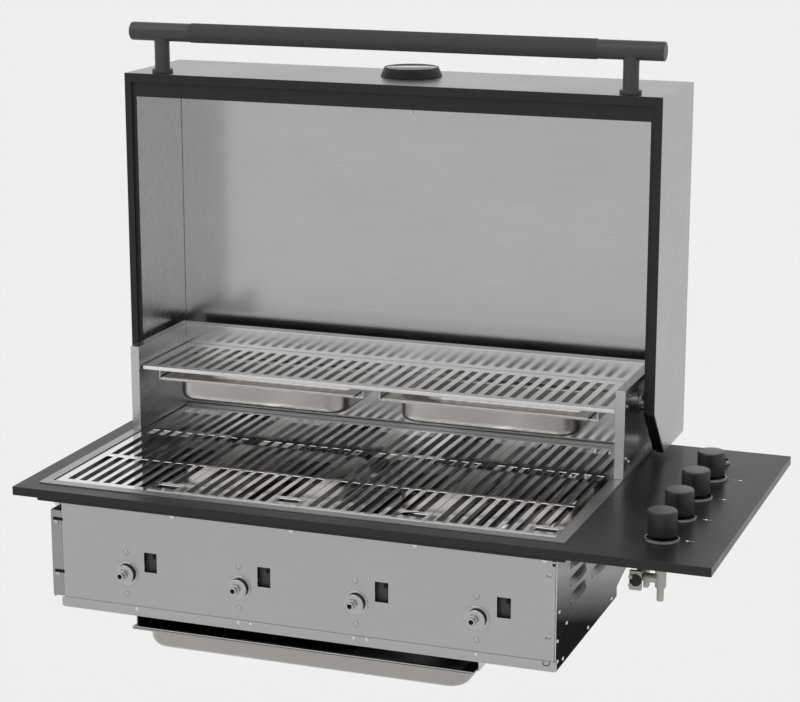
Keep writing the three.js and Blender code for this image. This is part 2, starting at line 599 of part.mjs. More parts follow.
add('handle_bar', handleBar(), enamel());
add('handle_grip', handleGrip(), blackGrip());
add('handle_post_left', handlePost(), enamel());
add('handle_post_right', mirrored(handlePost()), enamel());

// ---------------------------------------------------------------- hood thermometer
const gaugeBase = HOOD.top + GAP;
const bezelProfile = [[GAUGE.well, 0], [GAUGE.base, 0], [GAUGE.rim, GAUGE.height],
  [GAUGE.well, GAUGE.height], [GAUGE.well, 0]];
const probeTip = LINER.top - 25 - gaugeBase;
const dialProfile = [[0, probeTip], [3, probeTip], [3, 0], [GAUGE.well - GAP, 0],
  [GAUGE.well - GAP, 10], [0, 10]];
const gaugePieces = {
  thermometer_bezel: [turned(bezelProfile, 28), enamel()],
  thermometer_dial: [turned(dialProfile, 24), finish(0xf2f2f0, 0.5, 0)],
  thermometer_glass: [turned(rod(GAUGE.well - GAP, 13, 14.5), 24), finish(0xffffff, 0.05, 0)],
};
Object.entries(gaugePieces).forEach(([name, [geometry, material]]) =>
  add(name, geometry, material, GAUGE.x, GAUGE.y, gaugeBase));

// ---------------------------------------------------------------- controls and gas train
const STEM_RADIUS = 4;
const knobProfile = [[4.4, KNOB.bottom], [KNOB.radius - 1.2, KNOB.bottom], [KNOB.radius, KNOB.bottom + 1.2],
  [KNOB.radius, KNOB.top - 1], [KNOB.radius - 1, KNOB.top], [0, KNOB.top], [0, 30], [4.4, 30],
  [4.4, KNOB.bottom]];
const valveProfile = [[0, -94], [5.2, -94], [5.2, -73.5], [8.25, -73.5], [8.25, -7], [14, -7],
  [14, -DECK.top - GAP], [4.4, -DECK.top - GAP], [4.4, -24], [0, -24]];

// A cock with a vertical body, and an arm and a union nut that take gas from the manifold.
function valve() {
  const reach = KNOB.x - MANIFOLD.x - MANIFOLD.radius - GAP;
  const arm = turnedAlongX(rod(6.9, -reach + 0.1, -4), 10).translate(0, 0, -60.5);
  const nut = box(-24.5, -17.3, -6, 6, -75, -60);
  return join(turned(valveProfile, 16), arm, nut);
}

// A straight pipe with a pressure fitting and a closed end at the front, and at the back the
// nut and open nipple of the gas inlet.
function gasManifold() {
  const { x, z, radius, y0, y1 } = MANIFOLD;
  const pipe = turnedAlongY(rod(radius, y0, y1 + 1), 16);
  const nut = turnedAlongY(rod(14, y1, y1 + 18), 6);
  const nipple = turnedAlongY([[0, y1 + 10], [10.5, y1 + 10], [10.5, y1 + 42], [6.5, y1 + 42],
    [6.5, y1 + 26], [0, y1 + 26]], 14);
  return join(pipe, nut, nipple, box(-10, 8.4, y0 + 1, y0 + 8, -16, 14)).translate(x, 0, z);
}

// Four tubes stacked in one plane, each dropping to its burner behind the back wall. Two
// clip plates hold the stack together.
function supplyTubes() {
  const tubes = FOUR.map((i) => {
    const z = TUBE.top - TUBE.drop * i;
    const route = new BentLine([[KNOB.x + 8.25 + GAP, knobY(i), z], [TUBE.laneX, knobY(i), z],
      [TUBE.laneX, TUBE.laneY, z], [burnerX(i), TUBE.laneY, z], [burnerX(i), TUBE.laneY, BURNER.height],
      [burnerX(i), BOX.rear + GAP, BURNER.height]], TUBE.bend);
    return tube(route, TUBE.radius);
  });
  const low = TUBE.top - TUBE.drop * 3 - 6;
  const high = TUBE.top + 6;
  const sideClip = box(TUBE.laneX - 1.5, TUBE.laneX + 1.5, 478, 490, low, high);
  const rearClip = box(800, 812, TUBE.laneY - 1.5, TUBE.laneY + 1.5, low, high);
  return join(...tubes, sideClip, rearClip);
}

FOUR.forEach((i) => {
  add(`knob_${i + 1}`, turned(knobProfile, 24), blackGrip(), KNOB.x, knobY(i), 0);
  add(`valve_stem_${i + 1}`, turned(rod(STEM_RADIUS, -20, 26), 12), polished(), KNOB.x, knobY(i), 0);
  add(`valve_${i + 1}`, valve(), brass(), KNOB.x, knobY(i), 0);
});
add('gas_manifold', gasManifold(), brushed());
add('supply_tubes', supplyTubes(), finish(0xb5b5b8, 0.4, 1));

// A push igniter: a collar on the deck, a housing under it and the button that slides inside.
const igniterProfile = [[5.3, -38], [13, -38], [13, -DECK.top - GAP], [9.6, -DECK.top - GAP],
  [9.6, GAP], [12, GAP], [12, 3], [5.3, 3], [5.3, -38]];
const buttonProfile = [[0, -30], [5, -30], [5, 6.3], [8.5, 6.3], [8.5, 10.5], [7.8, 11.2], [0, 11.2]];
add('igniter_housing', turned(igniterProfile, 20), polished(), KNOB.x, IGNITER_Y, 0);
add('igniter_button', turned(buttonProfile, 20), blackGrip(), KNOB.x, IGNITER_Y, 0);

export default barbecue;
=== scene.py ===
"""Visual model of a built-in four-burner gas barbecue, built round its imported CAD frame.

Everything is in metres in the frame's axes: +X along the deck towards the controls, +Y
back, +Z up. Positions and sizes come from the CAD nodes' boxes. A CAD node is replaced
either by a cleaned copy of its own shape with rounded edges, or by a more detailed piece.
"""

import json
import math

import bmesh
import bpy
from mathutils import Matrix, Vector


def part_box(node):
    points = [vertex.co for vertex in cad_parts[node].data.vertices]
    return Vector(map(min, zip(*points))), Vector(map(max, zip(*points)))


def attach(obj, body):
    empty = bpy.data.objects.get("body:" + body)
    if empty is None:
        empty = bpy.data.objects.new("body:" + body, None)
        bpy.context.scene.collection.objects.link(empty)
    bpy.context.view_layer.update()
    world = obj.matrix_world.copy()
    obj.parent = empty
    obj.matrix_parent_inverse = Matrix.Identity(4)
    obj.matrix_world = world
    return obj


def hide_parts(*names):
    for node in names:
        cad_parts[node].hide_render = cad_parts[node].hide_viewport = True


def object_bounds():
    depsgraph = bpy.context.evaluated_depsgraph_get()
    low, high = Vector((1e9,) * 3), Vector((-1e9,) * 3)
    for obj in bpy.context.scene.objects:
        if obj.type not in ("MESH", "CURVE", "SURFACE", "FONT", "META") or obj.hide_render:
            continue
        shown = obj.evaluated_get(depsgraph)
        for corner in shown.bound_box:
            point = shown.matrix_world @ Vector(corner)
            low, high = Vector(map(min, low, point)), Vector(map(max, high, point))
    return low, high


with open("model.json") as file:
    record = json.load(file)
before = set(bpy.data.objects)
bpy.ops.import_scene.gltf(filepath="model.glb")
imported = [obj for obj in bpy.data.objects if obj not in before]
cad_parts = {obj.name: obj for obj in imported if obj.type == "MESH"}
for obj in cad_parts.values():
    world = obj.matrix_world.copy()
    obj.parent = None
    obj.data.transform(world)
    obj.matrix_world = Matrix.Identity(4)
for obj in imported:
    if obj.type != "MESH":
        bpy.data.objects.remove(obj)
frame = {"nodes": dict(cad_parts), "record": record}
CAD_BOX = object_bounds()

RECORD = frame["record"]
BODY_OF = {node: body for body, nodes in RECORD["behaviour"]["bodies"].items() for node in nodes}
MM = 0.001
X, Y, Z = Vector((1, 0, 0)), Vector((0, 1, 0)), Vector((0, 0, 1))
FOUR = (1, 2, 3, 4)
OUTWARD = {"left": -X, "right": X}


class Box:
    """The box of a CAD node at rest: x0, x1, y0, y1, z0, z1 and its middle cx, cy, cz."""

    def __init__(self, node):
        low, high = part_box(node)
        self.x0, self.y0, self.z0 = low
        self.x1, self.y1, self.z1 = high
        self.cx, self.cy, self.cz = (low + high) / 2


deck = Box("deck_plate")
panel = Box("front_panel")
floor_plate = Box("bottom_plate")
KNOBS = [Box(f"knob_{k}") for k in FOUR]
BURNERS = [Box(f"burner_{k}") for k in FOUR]

# ------------------------------------------------------------------ camera
# The camera's place from the deck's front left top corner, its turn and tilt, and its lens.
CAMERA_OFFSET = Vector((1.7402, -2.9613, 1.0502))
CAMERA_TURN = math.radians(20.28)
CAMERA_TILT = math.radians(13.83)
FOCAL_LENGTH_MM, SENSOR_WIDTH_MM = 101.8, 36
NEAREST, FURTHEST = 0.05, 200


def make_camera():
    data = bpy.data.cameras.new("camera")
    data.lens = FOCAL_LENGTH_MM
    data.sensor_width = SENSOR_WIDTH_MM
    data.clip_start = NEAREST
    data.clip_end = FURTHEST
    camera = bpy.data.objects.new("camera", data)
    camera.location = Vector((deck.x0, deck.y0, deck.z1)) + CAMERA_OFFSET
    camera.rotation_euler = (math.pi / 2 - CAMERA_TILT, 0, CAMERA_TURN)
    bpy.context.scene.collection.objects.link(camera)
    bpy.context.scene.camera = camera


# ------------------------------------------------------------------ material nodes
class Finish:
    """A Principled material with helpers that texture it in the object's own coordinates."""

    def __init__(self, name, colour, metallic, roughness):
        self.material = bpy.data.materials.new(name)
        self.material.use_nodes = True
        self.tree = self.material.node_tree
        self.shader = self.tree.nodes["Principled BSDF"]
        self.shader.inputs["Base Color"].default_value = (*colour, 1)
        self.shader.inputs["Metallic"].default_value = metallic
        self.shader.inputs["Roughness"].default_value = roughness
        self.colour = colour
        self.heights = []

    def node(self, kind, **values):
        made = self.tree.nodes.new(kind)
        for key, value in values.items():
            made.inputs[key.replace("_", " ")].default_value = value
        return made

    def noise(self, scale, detail=2.0, roughness=0.5):
        """Noise with its own number of cycles per metre along each axis."""
        place = self.tree.nodes.new("ShaderNodeTexCoord")
        mapping = self.node("ShaderNodeMapping", Scale=scale)
        noise = self.node("ShaderNodeTexNoise", Scale=1.0, Detail=detail, Roughness=roughness)
        self.tree.links.new(place.outputs["Object"], mapping.inputs["Vector"])
        self.tree.links.new(mapping.outputs["Vector"], noise.inputs["Vector"])
        return noise.outputs["Fac"]

    def spread(self, value, low, high, start=0.3, end=0.7):
        """The value's middle range, stretched from low to high."""
        ranged = self.node("ShaderNodeMapRange")
        for key, number in zip(("From Min", "From Max", "To Min", "To Max"), (start, end, low, high)):
            ranged.inputs[key].default_value = number
        self.tree.links.new(value, ranged.inputs["Value"])
        return ranged.outputs["Result"]

    def together(self, first, second, share=0.5):
        """A mix of two values."""
        mix = self.tree.nodes.new("ShaderNodeMix")
        mix.inputs["Factor"].default_value = share
        self.tree.links.new(first, mix.inputs["A"])
        self.tree.links.new(second, mix.inputs["B"])
        return mix.outputs["Result"]

    def vary_colour(self, value, darker, lighter):
        """The base colour runs from darker to lighter times itself."""
        ramp = self.tree.nodes.new("ShaderNodeValToRGB")
        for element, place, factor in zip(ramp.color_ramp.elements, (0.3, 0.7), (darker, lighter)):
            element.position = place
            element.color = (*[min(channel * factor, 1) for channel in self.colour], 1)
        self.tree.links.new(value, ramp.inputs["Fac"])
        self.tree.links.new(ramp.outputs["Color"], self.shader.inputs["Base Color"])

    def vary_roughness(self, value, low, high):
        self.tree.links.new(self.spread(value, low, high), self.shader.inputs["Roughness"])

    def bump(self, value, depth, strength=1.0):
        """Relief of the given depth in metres; several bumps add up."""
        bump = self.node("ShaderNodeBump", Strength=strength, Distance=depth)
        self.tree.links.new(value, bump.inputs["Height"])
        if self.heights:
            self.tree.links.new(self.heights[-1], bump.inputs["Normal"])
        self.heights.append(bump.outputs["Normal"])
        self.tree.links.new(bump.outputs["Normal"], self.shader.inputs["Normal"])


def along(axis, long, across):
    """Cycles per metre for grain that runs along one axis."""
    return tuple(long if i == "XYZ".index(axis) else across for i in range(3))


def steel(name, tone, roughness, grain, streak=0.1, depth=0.00001, spread=0.08, warm=0.0):
    """Brushed stainless steel with grain along an axis, cloudy patches and fine streaks."""
    finish = Finish(name, (tone * (1 + warm), tone, tone * (1 - warm)), 1.0, roughness)
    fine = finish.noise(along(grain, 14, 1500), 2, 0.6)
    broad = finish.noise(along(grain, 3, 120), 3, 0.6)
    clouds = finish.noise((7, 7, 7), 3, 0.55)
    grains = finish.together(fine, broad, 0.4)
    finish.vary_colour(finish.together(grains, clouds, 0.35), 1 - streak, 1 + streak)
    finish.vary_roughness(finish.together(grains, clouds, 0.5), roughness - spread, roughness + spread)
    finish.bump(fine, depth)
    return finish.material


def painted_shade_steel(name, top_tone, foot_tone, roughness, grain):
    """Brushed steel with painted shade: a painted dark reflection that darkens it from under the deck's front
    down to the firebox's foot, and less so towards the back."""
    slope = 0.34
    lightest_down, darkest_down = 27 * MM, 118 * MM
    finish = Finish(name, (top_tone, top_tone, top_tone), 1.0, roughness)
    finish.shader.inputs["Specular Tint"].default_value = (0.2, 0.2, 0.2, 1)
    place = finish.tree.nodes.new("ShaderNodeTexCoord")
    level = finish.tree.nodes.new("ShaderNodeVectorMath")
    ramp = finish.tree.nodes.new("ShaderNodeValToRGB")
    level.operation = "DOT_PRODUCT"
    level.inputs[1].default_value = (0, slope, 1)
    finish.tree.links.new(place.outputs["Object"], level.inputs[0])
    corner = deck.z1 + slope * deck.y0
    height = finish.spread(level.outputs["Value"], 0.0, 1.0, corner - darkest_down, corner - lightest_down)
    grains = finish.noise(along(grain, 10, 900), 3, 0.6)
    uneven = finish.together(height, grains, 0.08)
    finish.tree.links.new(uneven, ramp.inputs["Fac"])
    for element, place_on, tone in zip(ramp.color_ramp.elements, (0.08, 0.92), (foot_tone, top_tone)):
        element.position = place_on
        element.color = (tone, tone, tone, 1)
    finish.tree.links.new(ramp.outputs["Color"], finish.shader.inputs["Base Color"])
    finish.vary_roughness(grains, roughness - 0.07, roughness + 0.07)
    finish.bump(grains, 0.00001)
    return finish.material


def coated(name, colour, roughness, relief=0.00002, size=900, gloss=0.5, spread=0.06):
    """Enamel, powder coat or moulded plastic: a fine orange peel and slightly uneven sheen."""
    finish = Finish(name, colour, 0.0, roughness)
    finish.shader.inputs["Specular IOR Level"].default_value = gloss
    peel = finish.noise((size, size, size), 2, 0.6)
    clouds = finish.noise((9, 9, 9), 3, 0.6)
    finish.vary_colour(finish.together(peel, clouds, 0.6), 0.88, 1.12)
    finish.vary_roughness(finish.together(clouds, peel, 0.4), roughness - spread, roughness + spread)
    finish.bump(peel, relief)
    return finish.material


def cast(name, colour, roughness):
    """A cast or forged fitting with a grainy skin."""
    finish = Finish(name, colour, 0.55, roughness)
    grain = finish.noise((700, 700, 700), 3, 0.7)
    clouds = finish.noise((45, 45, 45), 3, 0.6)
    finish.vary_colour(finish.together(grain, clouds, 0.5), 0.82, 1.12)
    finish.vary_roughness(clouds, roughness - 0.1, roughness + 0.12)
    finish.bump(grain, 0.00006)
    return finish.material


def clear_glass():
    finish = Finish("dial_glass", (1, 1, 1), 0.0, 0.03)
    finish.shader.inputs["Transmission Weight"].default_value = 1.0
    finish.shader.inputs["IOR"].default_value = 1.45
    finish.vary_roughness(finish.noise((60, 60, 60), 2), 0.01, 0.06)
    return finish.material


SHEET_X = steel("steel_sheet_x", 0.42, 0.33, "X", streak=0.07)
SHEET_Y = steel("steel_sheet_y", 0.5, 0.3, "Y", streak=0.07)
# Left side panel's front faces: a darker copy of its steel, painted shade on its front flange.
FLANGE_PAINTED_SHADE = steel("steel_flange_painted_shade", 0.31, 0.33, "Z", streak=0.07)
# Right side panel: painted shade, darker towards its foot.
SIDE_SHEET_PAINTED_SHADE = painted_shade_steel("steel_side_panel_painted_shade", 0.7, 0.1, 0.3, "Y")
# Louvre scoops: a darker copy with the same painted shade, standing in for the shade inside the scoops.
LOUVRE_PAINTED_SHADE = painted_shade_steel("steel_louvre_painted_shade", 0.32, 0.08, 0.3, "Y")
HOOD_SKIN = steel("steel_hood", 0.38, 0.3, "X", streak=0.05)
LINER_SKIN = steel("steel_liner", 0.46, 0.2, "X", streak=0.08, depth=0.00001, spread=0.05)
SIDE_SKIN = steel("steel_liner_side", 0.68, 0.26, "Z", streak=0.05)
SPLASH_SKIN = steel("steel_splash", 0.64, 0.17, "X", streak=0.05, depth=0.000006, spread=0.04)
RACK_STEEL = steel("steel_rack", 0.78, 0.22, "X", streak=0.05, depth=0.000006, spread=0.05)
GRATE_STEEL = steel("steel_grate", 0.93, 0.06, "Y", streak=0.04, depth=0.000002, spread=0.02)
DRAWN_STEEL = steel("steel_drawn", 0.36, 0.2, "X", streak=0.05, depth=0.000006, warm=0.015)
PAN_STEEL = steel("steel_pan", 0.52, 0.3, "X", streak=0.04, depth=0.000004, warm=0.02)
# Also used on the right side panel's front faces as a painted highlight.
BRIGHT_STEEL = steel("steel_bright", 0.6, 0.2, "Y", streak=0.05, depth=0.000003)
COLLAR_STEEL = steel("steel_collar", 0.45, 0.22, "Z", streak=0.06, depth=0.000003)
CHROME = steel("chrome_ring", 0.14, 0.12, "Z", streak=0.03, depth=0.000001, spread=0.03)
ENAMEL = coated("deck_enamel", (0.014, 0.014, 0.0145), 0.3, 0.000008, 600, 0.27)
POWDER = coated("black_powder_coat", (0.013, 0.013, 0.0135), 0.45, 0.00003, 1300, 0.27)
HANDLE_COAT = coated("handle_coat", (0.04, 0.04, 0.041), 0.42, 0.00001, 900, 0.35)
GRIP = coated("grip_rubber", (0.036, 0.036, 0.037), 0.6, 0.00003, 1100, 0.35)
KNOB_TOP = coated("knob_top", (0.05, 0.05, 0.0505), 0.34, 0.000008, 1400, 0.6)
BLACK_OXIDE = cast("black_oxide", (0.02, 0.02, 0.021), 0.5)
KNOB_PLASTIC = coated("knob_plastic", (0.011, 0.011, 0.0115), 0.36, 0.000012, 1200, 0.5)
DIAL_PAINT = coated("dial_paint", (0.85, 0.85, 0.84), 0.5, 0.00001, 900)
MARK_PAINT = coated("mark_paint", (0.85, 0.85, 0.84), 0.5, 0.00001, 900)
# Near-black: the own colour of the dial's marks, needle and igniter tips, and painted shade in holes, slots
# and the recess under each knob.
BLACK_AND_HOLE_SHADE = coated("black_and_painted_hole_shade", (0.006, 0.006, 0.006), 0.8, 0.00002, 900, 0.2)
CASTING = cast("gas_casting", (0.42, 0.415, 0.39), 0.55)
BRACKET = cast("burner_bracket", (0.05, 0.05, 0.05), 0.5)
TUBE_METAL = steel("tube_metal", 0.5, 0.38, "Z", streak=0.08)
GLASS = clear_glass()


# ------------------------------------------------------------------ mesh building blocks
SHEET_EDGE = 0.35 * MM      # how far most folded sheets' edges are rounded
ON_AXIS = 1e-7              # a smaller radius is a tip


def in_mm(profile):
    """A profile in metres from one in millimetres."""
    return [(radius * MM, height * MM) for radius, height in profile]


def shifted(corner, x, y, z):
    """A corner moved by millimetres."""
    return corner + Vector((x, y, z)) * MM


def bridge(bm, first, second):
    """Faces between two rings of vertices; a ring of one vertex is a tip."""
    count = max(len(first), len(second))
    for i in range(count):
        j = (i + 1) % count
        corners = [first[i % len(first)], first[j % len(first)],
                   second[j % len(second)], second[i % len(second)]]
        unique = list(dict.fromkeys(corners))
        if len(unique) > 2:
            bm.faces.new(unique)


def lathe(bm, profile, centre, direction=Z, segments=64, flute=None):
    """Turns [radius, height] points about a direction. A profile that ends where it starts
    closes on itself. flute(angle) adds to each radius."""
    turn = direction.to_track_quat("Z", "Y").to_matrix().to_4x4()
    place = Matrix.Translation(centre) @ turn
    closed = profile[0] == profile[-1]
    rings = []
    for radius, height in profile[:-1] if closed else profile:
        if radius < ON_AXIS:
            rings.append([bm.verts.new(place @ Vector((0, 0, height)))])
            continue
        ring = []
        for i in range(segments):
            angle = 2 * math.pi * i / segments
            reach = radius + (flute(angle) if flute else 0)
            point = Vector((reach * math.cos(angle), reach * math.sin(angle), height))
            ring.append(bm.verts.new(place @ point))
        rings.append(ring)
    for first, second in zip(rings, rings[1:] + rings[:1] if closed else rings[1:]):
        bridge(bm, first, second)


def curve(start, corner, end, steps):
    """Points from start to end on a smooth curve that the corner pulls."""
    return [start * (1 - t) ** 2 + corner * 2 * t * (1 - t) + end * t ** 2
            for t in (i / steps for i in range(steps + 1))]


def rounded(profile, radius, steps=4):
    """The same profile with every inner corner rounded."""
    most = 0.48              # of each side's length, so that two corners never meet
    points = [Vector(point) for point in profile]
    result = [tuple(points[0])]
    for before, corner, after in zip(points, points[1:], points[2:]):
        back, ahead = before - corner, after - corner
        reach = min(radius, back.length * most, ahead.length * most)
        start, end = corner + back.normalized() * reach, corner + ahead.normalized() * reach
        result += [tuple(point) for point in curve(start, corner, end, steps)]
    return result + [tuple(points[-1])]


def rod(radius, start, end):
    """The profile of a plain round rod between two heights."""
    return [(0, start), (radius, start), (radius, end), (0, end)]


def block(bm, low, high, bevel=0.0, segments=2):
    """A box between two corners with rounded edges."""
    low, high = Vector(low), Vector(high)
    size = high - low
    matrix = Matrix.Translation((low + high) / 2) @ Matrix.Diagonal((*size, 1))
    verts = bmesh.ops.create_cube(bm, size=1, matrix=matrix)["verts"]
    if bevel:
        edges = list(dict.fromkeys(edge for vert in verts for edge in vert.link_edges))
        bmesh.ops.bevel(bm, geom=edges, offset=bevel, segments=segments, profile=0.5, affect="EDGES",
                        clamp_overlap=True)


def rounded_loop(x0, x1, y0, y1, radius, z, steps=8):
    """Points round a rectangle with rounded corners, anticlockwise."""
    corners = ((x1 - radius, y1 - radius), (x0 + radius, y1 - radius),
               (x0 + radius, y0 + radius), (x1 - radius, y0 + radius))
    points = []
    for quarter, (cx, cy) in enumerate(corners):
        for i in range(steps + 1):
            angle = math.pi / 2 * (quarter + i / steps)
            points.append((cx + radius * math.cos(angle), cy + radius * math.sin(angle), z))
    return points


def skin(bm, loops):
    """A closed body through a stack of loops, with a flat cap at each end."""
    rings = [[bm.verts.new(point) for point in loop] for loop in loops]
    for first, second in zip(rings, rings[1:]):
        bridge(bm, first, second)
    bm.faces.new(rings[0][::-1])
    bm.faces.new(rings[-1])


def bent(corners, radius, steps=8):
    """A route through corner points with each corner rounded."""
    points = [Vector(corner) for corner in corners]
    route = [points[0]]
    for before, corner, after in zip(points, points[1:], points[2:]):
        start = corner + (before - corner).normalized() * radius
        end = corner + (after - corner).normalized() * radius
        route += curve(start, corner, end, steps)
    return route + [points[-1]]


def sweep(bm, route, radius, sides=20):
    """A round rod along a route."""
    tangents = [(b - a).normalized() for a, b in zip(route, route[1:])]
    tangents = [tangents[0]] + [(a + b).normalized() for a, b in zip(tangents, tangents[1:])] + [tangents[-1]]
    across = tangents[0].orthogonal().normalized()
    rings = []
    for point, tangent in zip(route, tangents):
        across = (across - tangent * across.dot(tangent)).normalized()
        other = tangent.cross(across)
        rings.append([bm.verts.new(point + radius * (across * math.cos(a) + other * math.sin(a)))
                      for a in (2 * math.pi * i / sides for i in range(sides))])
    for first, second in zip(rings, rings[1:]):
        bridge(bm, first, second)
    bm.faces.new(rings[0][::-1])
    bm.faces.new(rings[-1])


def add_piece(name, bm, material, like, replaced=(), sharp=32, flat=False):
    """Makes an object that moves with the CAD node `like` and hides the nodes it replaces. With flat, its
    broad faces keep flat shading beside their rounded edges."""
    bmesh.ops.recalc_face_normals(bm, faces=bm.faces)
    mesh = bpy.data.meshes.new(name)
    bm.to_mesh(mesh)
    bm.free()
    mesh.polygons.foreach_set("use_smooth", [True] * len(mesh.polygons))
    mesh.set_sharp_from_angle(angle=math.radians(sharp))
    mesh.materials.append(material)
    piece = bpy.data.objects.new(name, mesh)
    bpy.context.scene.collection.objects.link(piece)
    if flat:
        weighted = piece.modifiers.new("flat_faces", "WEIGHTED_NORMAL")
        weighted.keep_sharp = True
        weighted.weight = 100
    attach(piece, BODY_OF[like])
    if replaced:
        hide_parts(*replaced)
    return piece


def stand_in(node, bm, material):
    """The piece that is shown in place of one CAD node."""
    return add_piece(f"{node}_finished", bm, material, node, (node,))


def refined(node, material, bevel, segments=2, angle=28, front=None):
    """A cleaned copy of a CAD node's own shape, with its sharp edges rounded. Faces that look
    to the front can have a material of their own."""
    same_place, flat_angle, faces_front = 1e-5, math.radians(1), -0.7
    bm = bmesh.new()
    bm.from_mesh(frame["nodes"][node].data)
    bmesh.ops.remove_doubles(bm, verts=bm.verts, dist=same_place)
    bmesh.ops.dissolve_limit(bm, angle_limit=flat_angle, verts=bm.verts, edges=bm.edges)
    limit = math.radians(angle)
    edges = [edge for edge in bm.edges if len(edge.link_faces) == 2 and edge.calc_face_angle() > limit]
    bmesh.ops.bevel(bm, geom=edges, offset=bevel, segments=segments, profile=0.5, affect="EDGES",
                    clamp_overlap=True)
    if front:
        bm.normal_update()
        for face in bm.faces:
            face.material_index = 1 if face.normal.y < faces_front else 0
    piece = add_piece(f"{node}_finished", bm, material, node, (node,), flat=True)
    if front:
        piece.data.materials.append(front)
    return piece


# A screw head from its drive recess outwards, in shares of its radius and height.
SCREW_HEAD = ((0, 0.5), (0.35, 0.5), (0.42, 1), (0.75, 0.9), (0.95, 0.55), (1, 0.1), (1, -0.1), (0, -0.1))


def screw(bm, centre, direction, radius, height):
    """A round screw head with a small drive recess."""
    profile = [(radius * out, height * up) for out, up in SCREW_HEAD]
    lathe(bm, profile, centre, direction, segments=24)


def rivet(bm, centre, direction, radius, height):
    """A low domed rivet head that reaches a little into the sheet."""
    steps, sunk = 5, -0.1 * height
    dome = [(radius * math.sin(math.pi / 2 * i / steps), height * math.cos(math.pi / 2 * i / steps))
            for i in range(steps + 1)]
    lathe(bm, dome + [(radius, sunk), (0, sunk)], centre, direction, segments=20)


# ------------------------------------------------------------------ deck, rim and grates
def make_deck():
    refined("deck_plate", ENAMEL, bevel=1.2 * MM, segments=3)
    refined("mounting_frame", POWDER, bevel=0.5 * MM)
    refined("grate_rim", SHEET_X, SHEET_EDGE)
    for k in FOUR:
        refined(f"grate_{k}", GRATE_STEEL, bevel=0.4 * MM)


def make_deck_screws():
    """Low round heads under the mounting frame, just behind the deck's folded edge."""
    under = Box("mounting_frame")
    first, pitch, count, set_back = 75 * MM, 197.3 * MM, 5, 7 * MM
    bm = bmesh.new()
    for i in range(count):
        spot = Vector((deck.x0 + first + pitch * i, under.y0 + set_back, under.z0))
        screw(bm, spot, -Z, radius=5.5 * MM, height=6 * MM)
    add_piece("deck_screws", bm, BRIGHT_STEEL, "mounting_frame")


# ------------------------------------------------------------------ cheeks, splash and rack
def make_back():
    for side in OUTWARD:
        refined(f"cheek_{side}", SHEET_Y, bevel=0.45 * MM)
    refined("back_splash", SPLASH_SKIN, bevel=0.45 * MM)
    refined("warming_rack", RACK_STEEL, bevel=0.6 * MM)
    for side in OUTWARD:
        refined(f"pan_runner_{side}", RACK_STEEL, SHEET_EDGE)


def make_cheek_bolts():
    """Two bolts high up and two at the foot of each cheek's outer face."""
    flange = 11.2 * MM
    back_and_up = ((83, 116), (64, 102), (64, 15.5), (83, 5.5))
    for side, outward in OUTWARD.items():
        cheek = Box(f"cheek_{side}")
        web = cheek.x1 - flange if side == "left" else cheek.x0 + flange
        bm = bmesh.new()
        for back, up in back_and_up:
            spot = Vector((web, cheek.y0 + back * MM, cheek.z0 + up * MM))
            rivet(bm, spot, outward, radius=3.4 * MM, height=2.4 * MM)
        add_piece(f"cheek_bolts_{side}", bm, BRIGHT_STEEL, f"cheek_{side}")


def drawn_tray(node, side, front, thick, corner, foot, sunk=0.0):
    """A deep-drawn tray: a flange, a rounded mouth, straight walls and a rounded foot. The
    flange is `side` and `front` wide and lies `sunk` below the node's top."""
    box = Box(node)
    top, bottom = box.z1 - sunk, box.z0
    mouth, soft, flange_corner, least_corner, steps = 2.5 * MM, 0.3 * MM, 3 * MM, 1 * MM, 6

    def wall(inset, z):
        return rounded_loop(box.x0 + side + inset, box.x1 - side - inset,
                            box.y0 + front + inset, box.y1 - front - inset,
                            max(corner - inset, least_corner), z)

    def edge(inset, z):
        return rounded_loop(box.x0 + inset, box.x1 - inset, box.y0 + inset, box.y1 - inset,
                            flange_corner - inset, z)

    def curl(radius, inset, z, outwards):
        """Insets and heights round the foot's or the mouth's quarter circle."""
        turns = [math.pi / 2 * i / steps for i in range(steps + 1)]
        if outwards:
            return [(inset - radius * (1 - math.cos(a)), z - radius * (1 - math.sin(a))) for a in turns]
        return [(inset + radius * (1 - math.sin(a)), z + radius * (1 - math.cos(a))) for a in turns]

    inner = [wall(i, z) for i, z in curl(foot - thick, thick, bottom + thick, False)]
    lip = [wall(i, z) for i, z in curl(mouth, thick, top, True)]
    under = [wall(i, z) for i, z in curl(mouth - thick, 0.0, top - thick, True)]
    outer = [wall(i, z) for i, z in curl(foot, 0.0, bottom, False)]
    flange_edge = [edge(soft, top), edge(0, top - soft), edge(0, top - thick + soft),
                   edge(soft, top - thick)]
    bm = bmesh.new()
    skin(bm, inner + lip + flange_edge + under[::-1] + outer[::-1])
    return bm, box


def make_pans():
    lip_thick, lip_foot, lip_top = 1.7 * MM, 4.6 * MM, 0.1 * MM
    for hand in OUTWARD:
        node = f"pan_{hand}"
        bm, box = drawn_tray(node, side=22 * MM, front=7 * MM, thick=1.2 * MM, corner=35 * MM,
                             foot=12 * MM)
        block(bm, (box.x0, box.y0, box.z1 - lip_foot), (box.x1, box.y0 + lip_thick, box.z1 - lip_top),
              bevel=0.7 * MM, segments=3)
        stand_in(node, bm, PAN_STEEL)


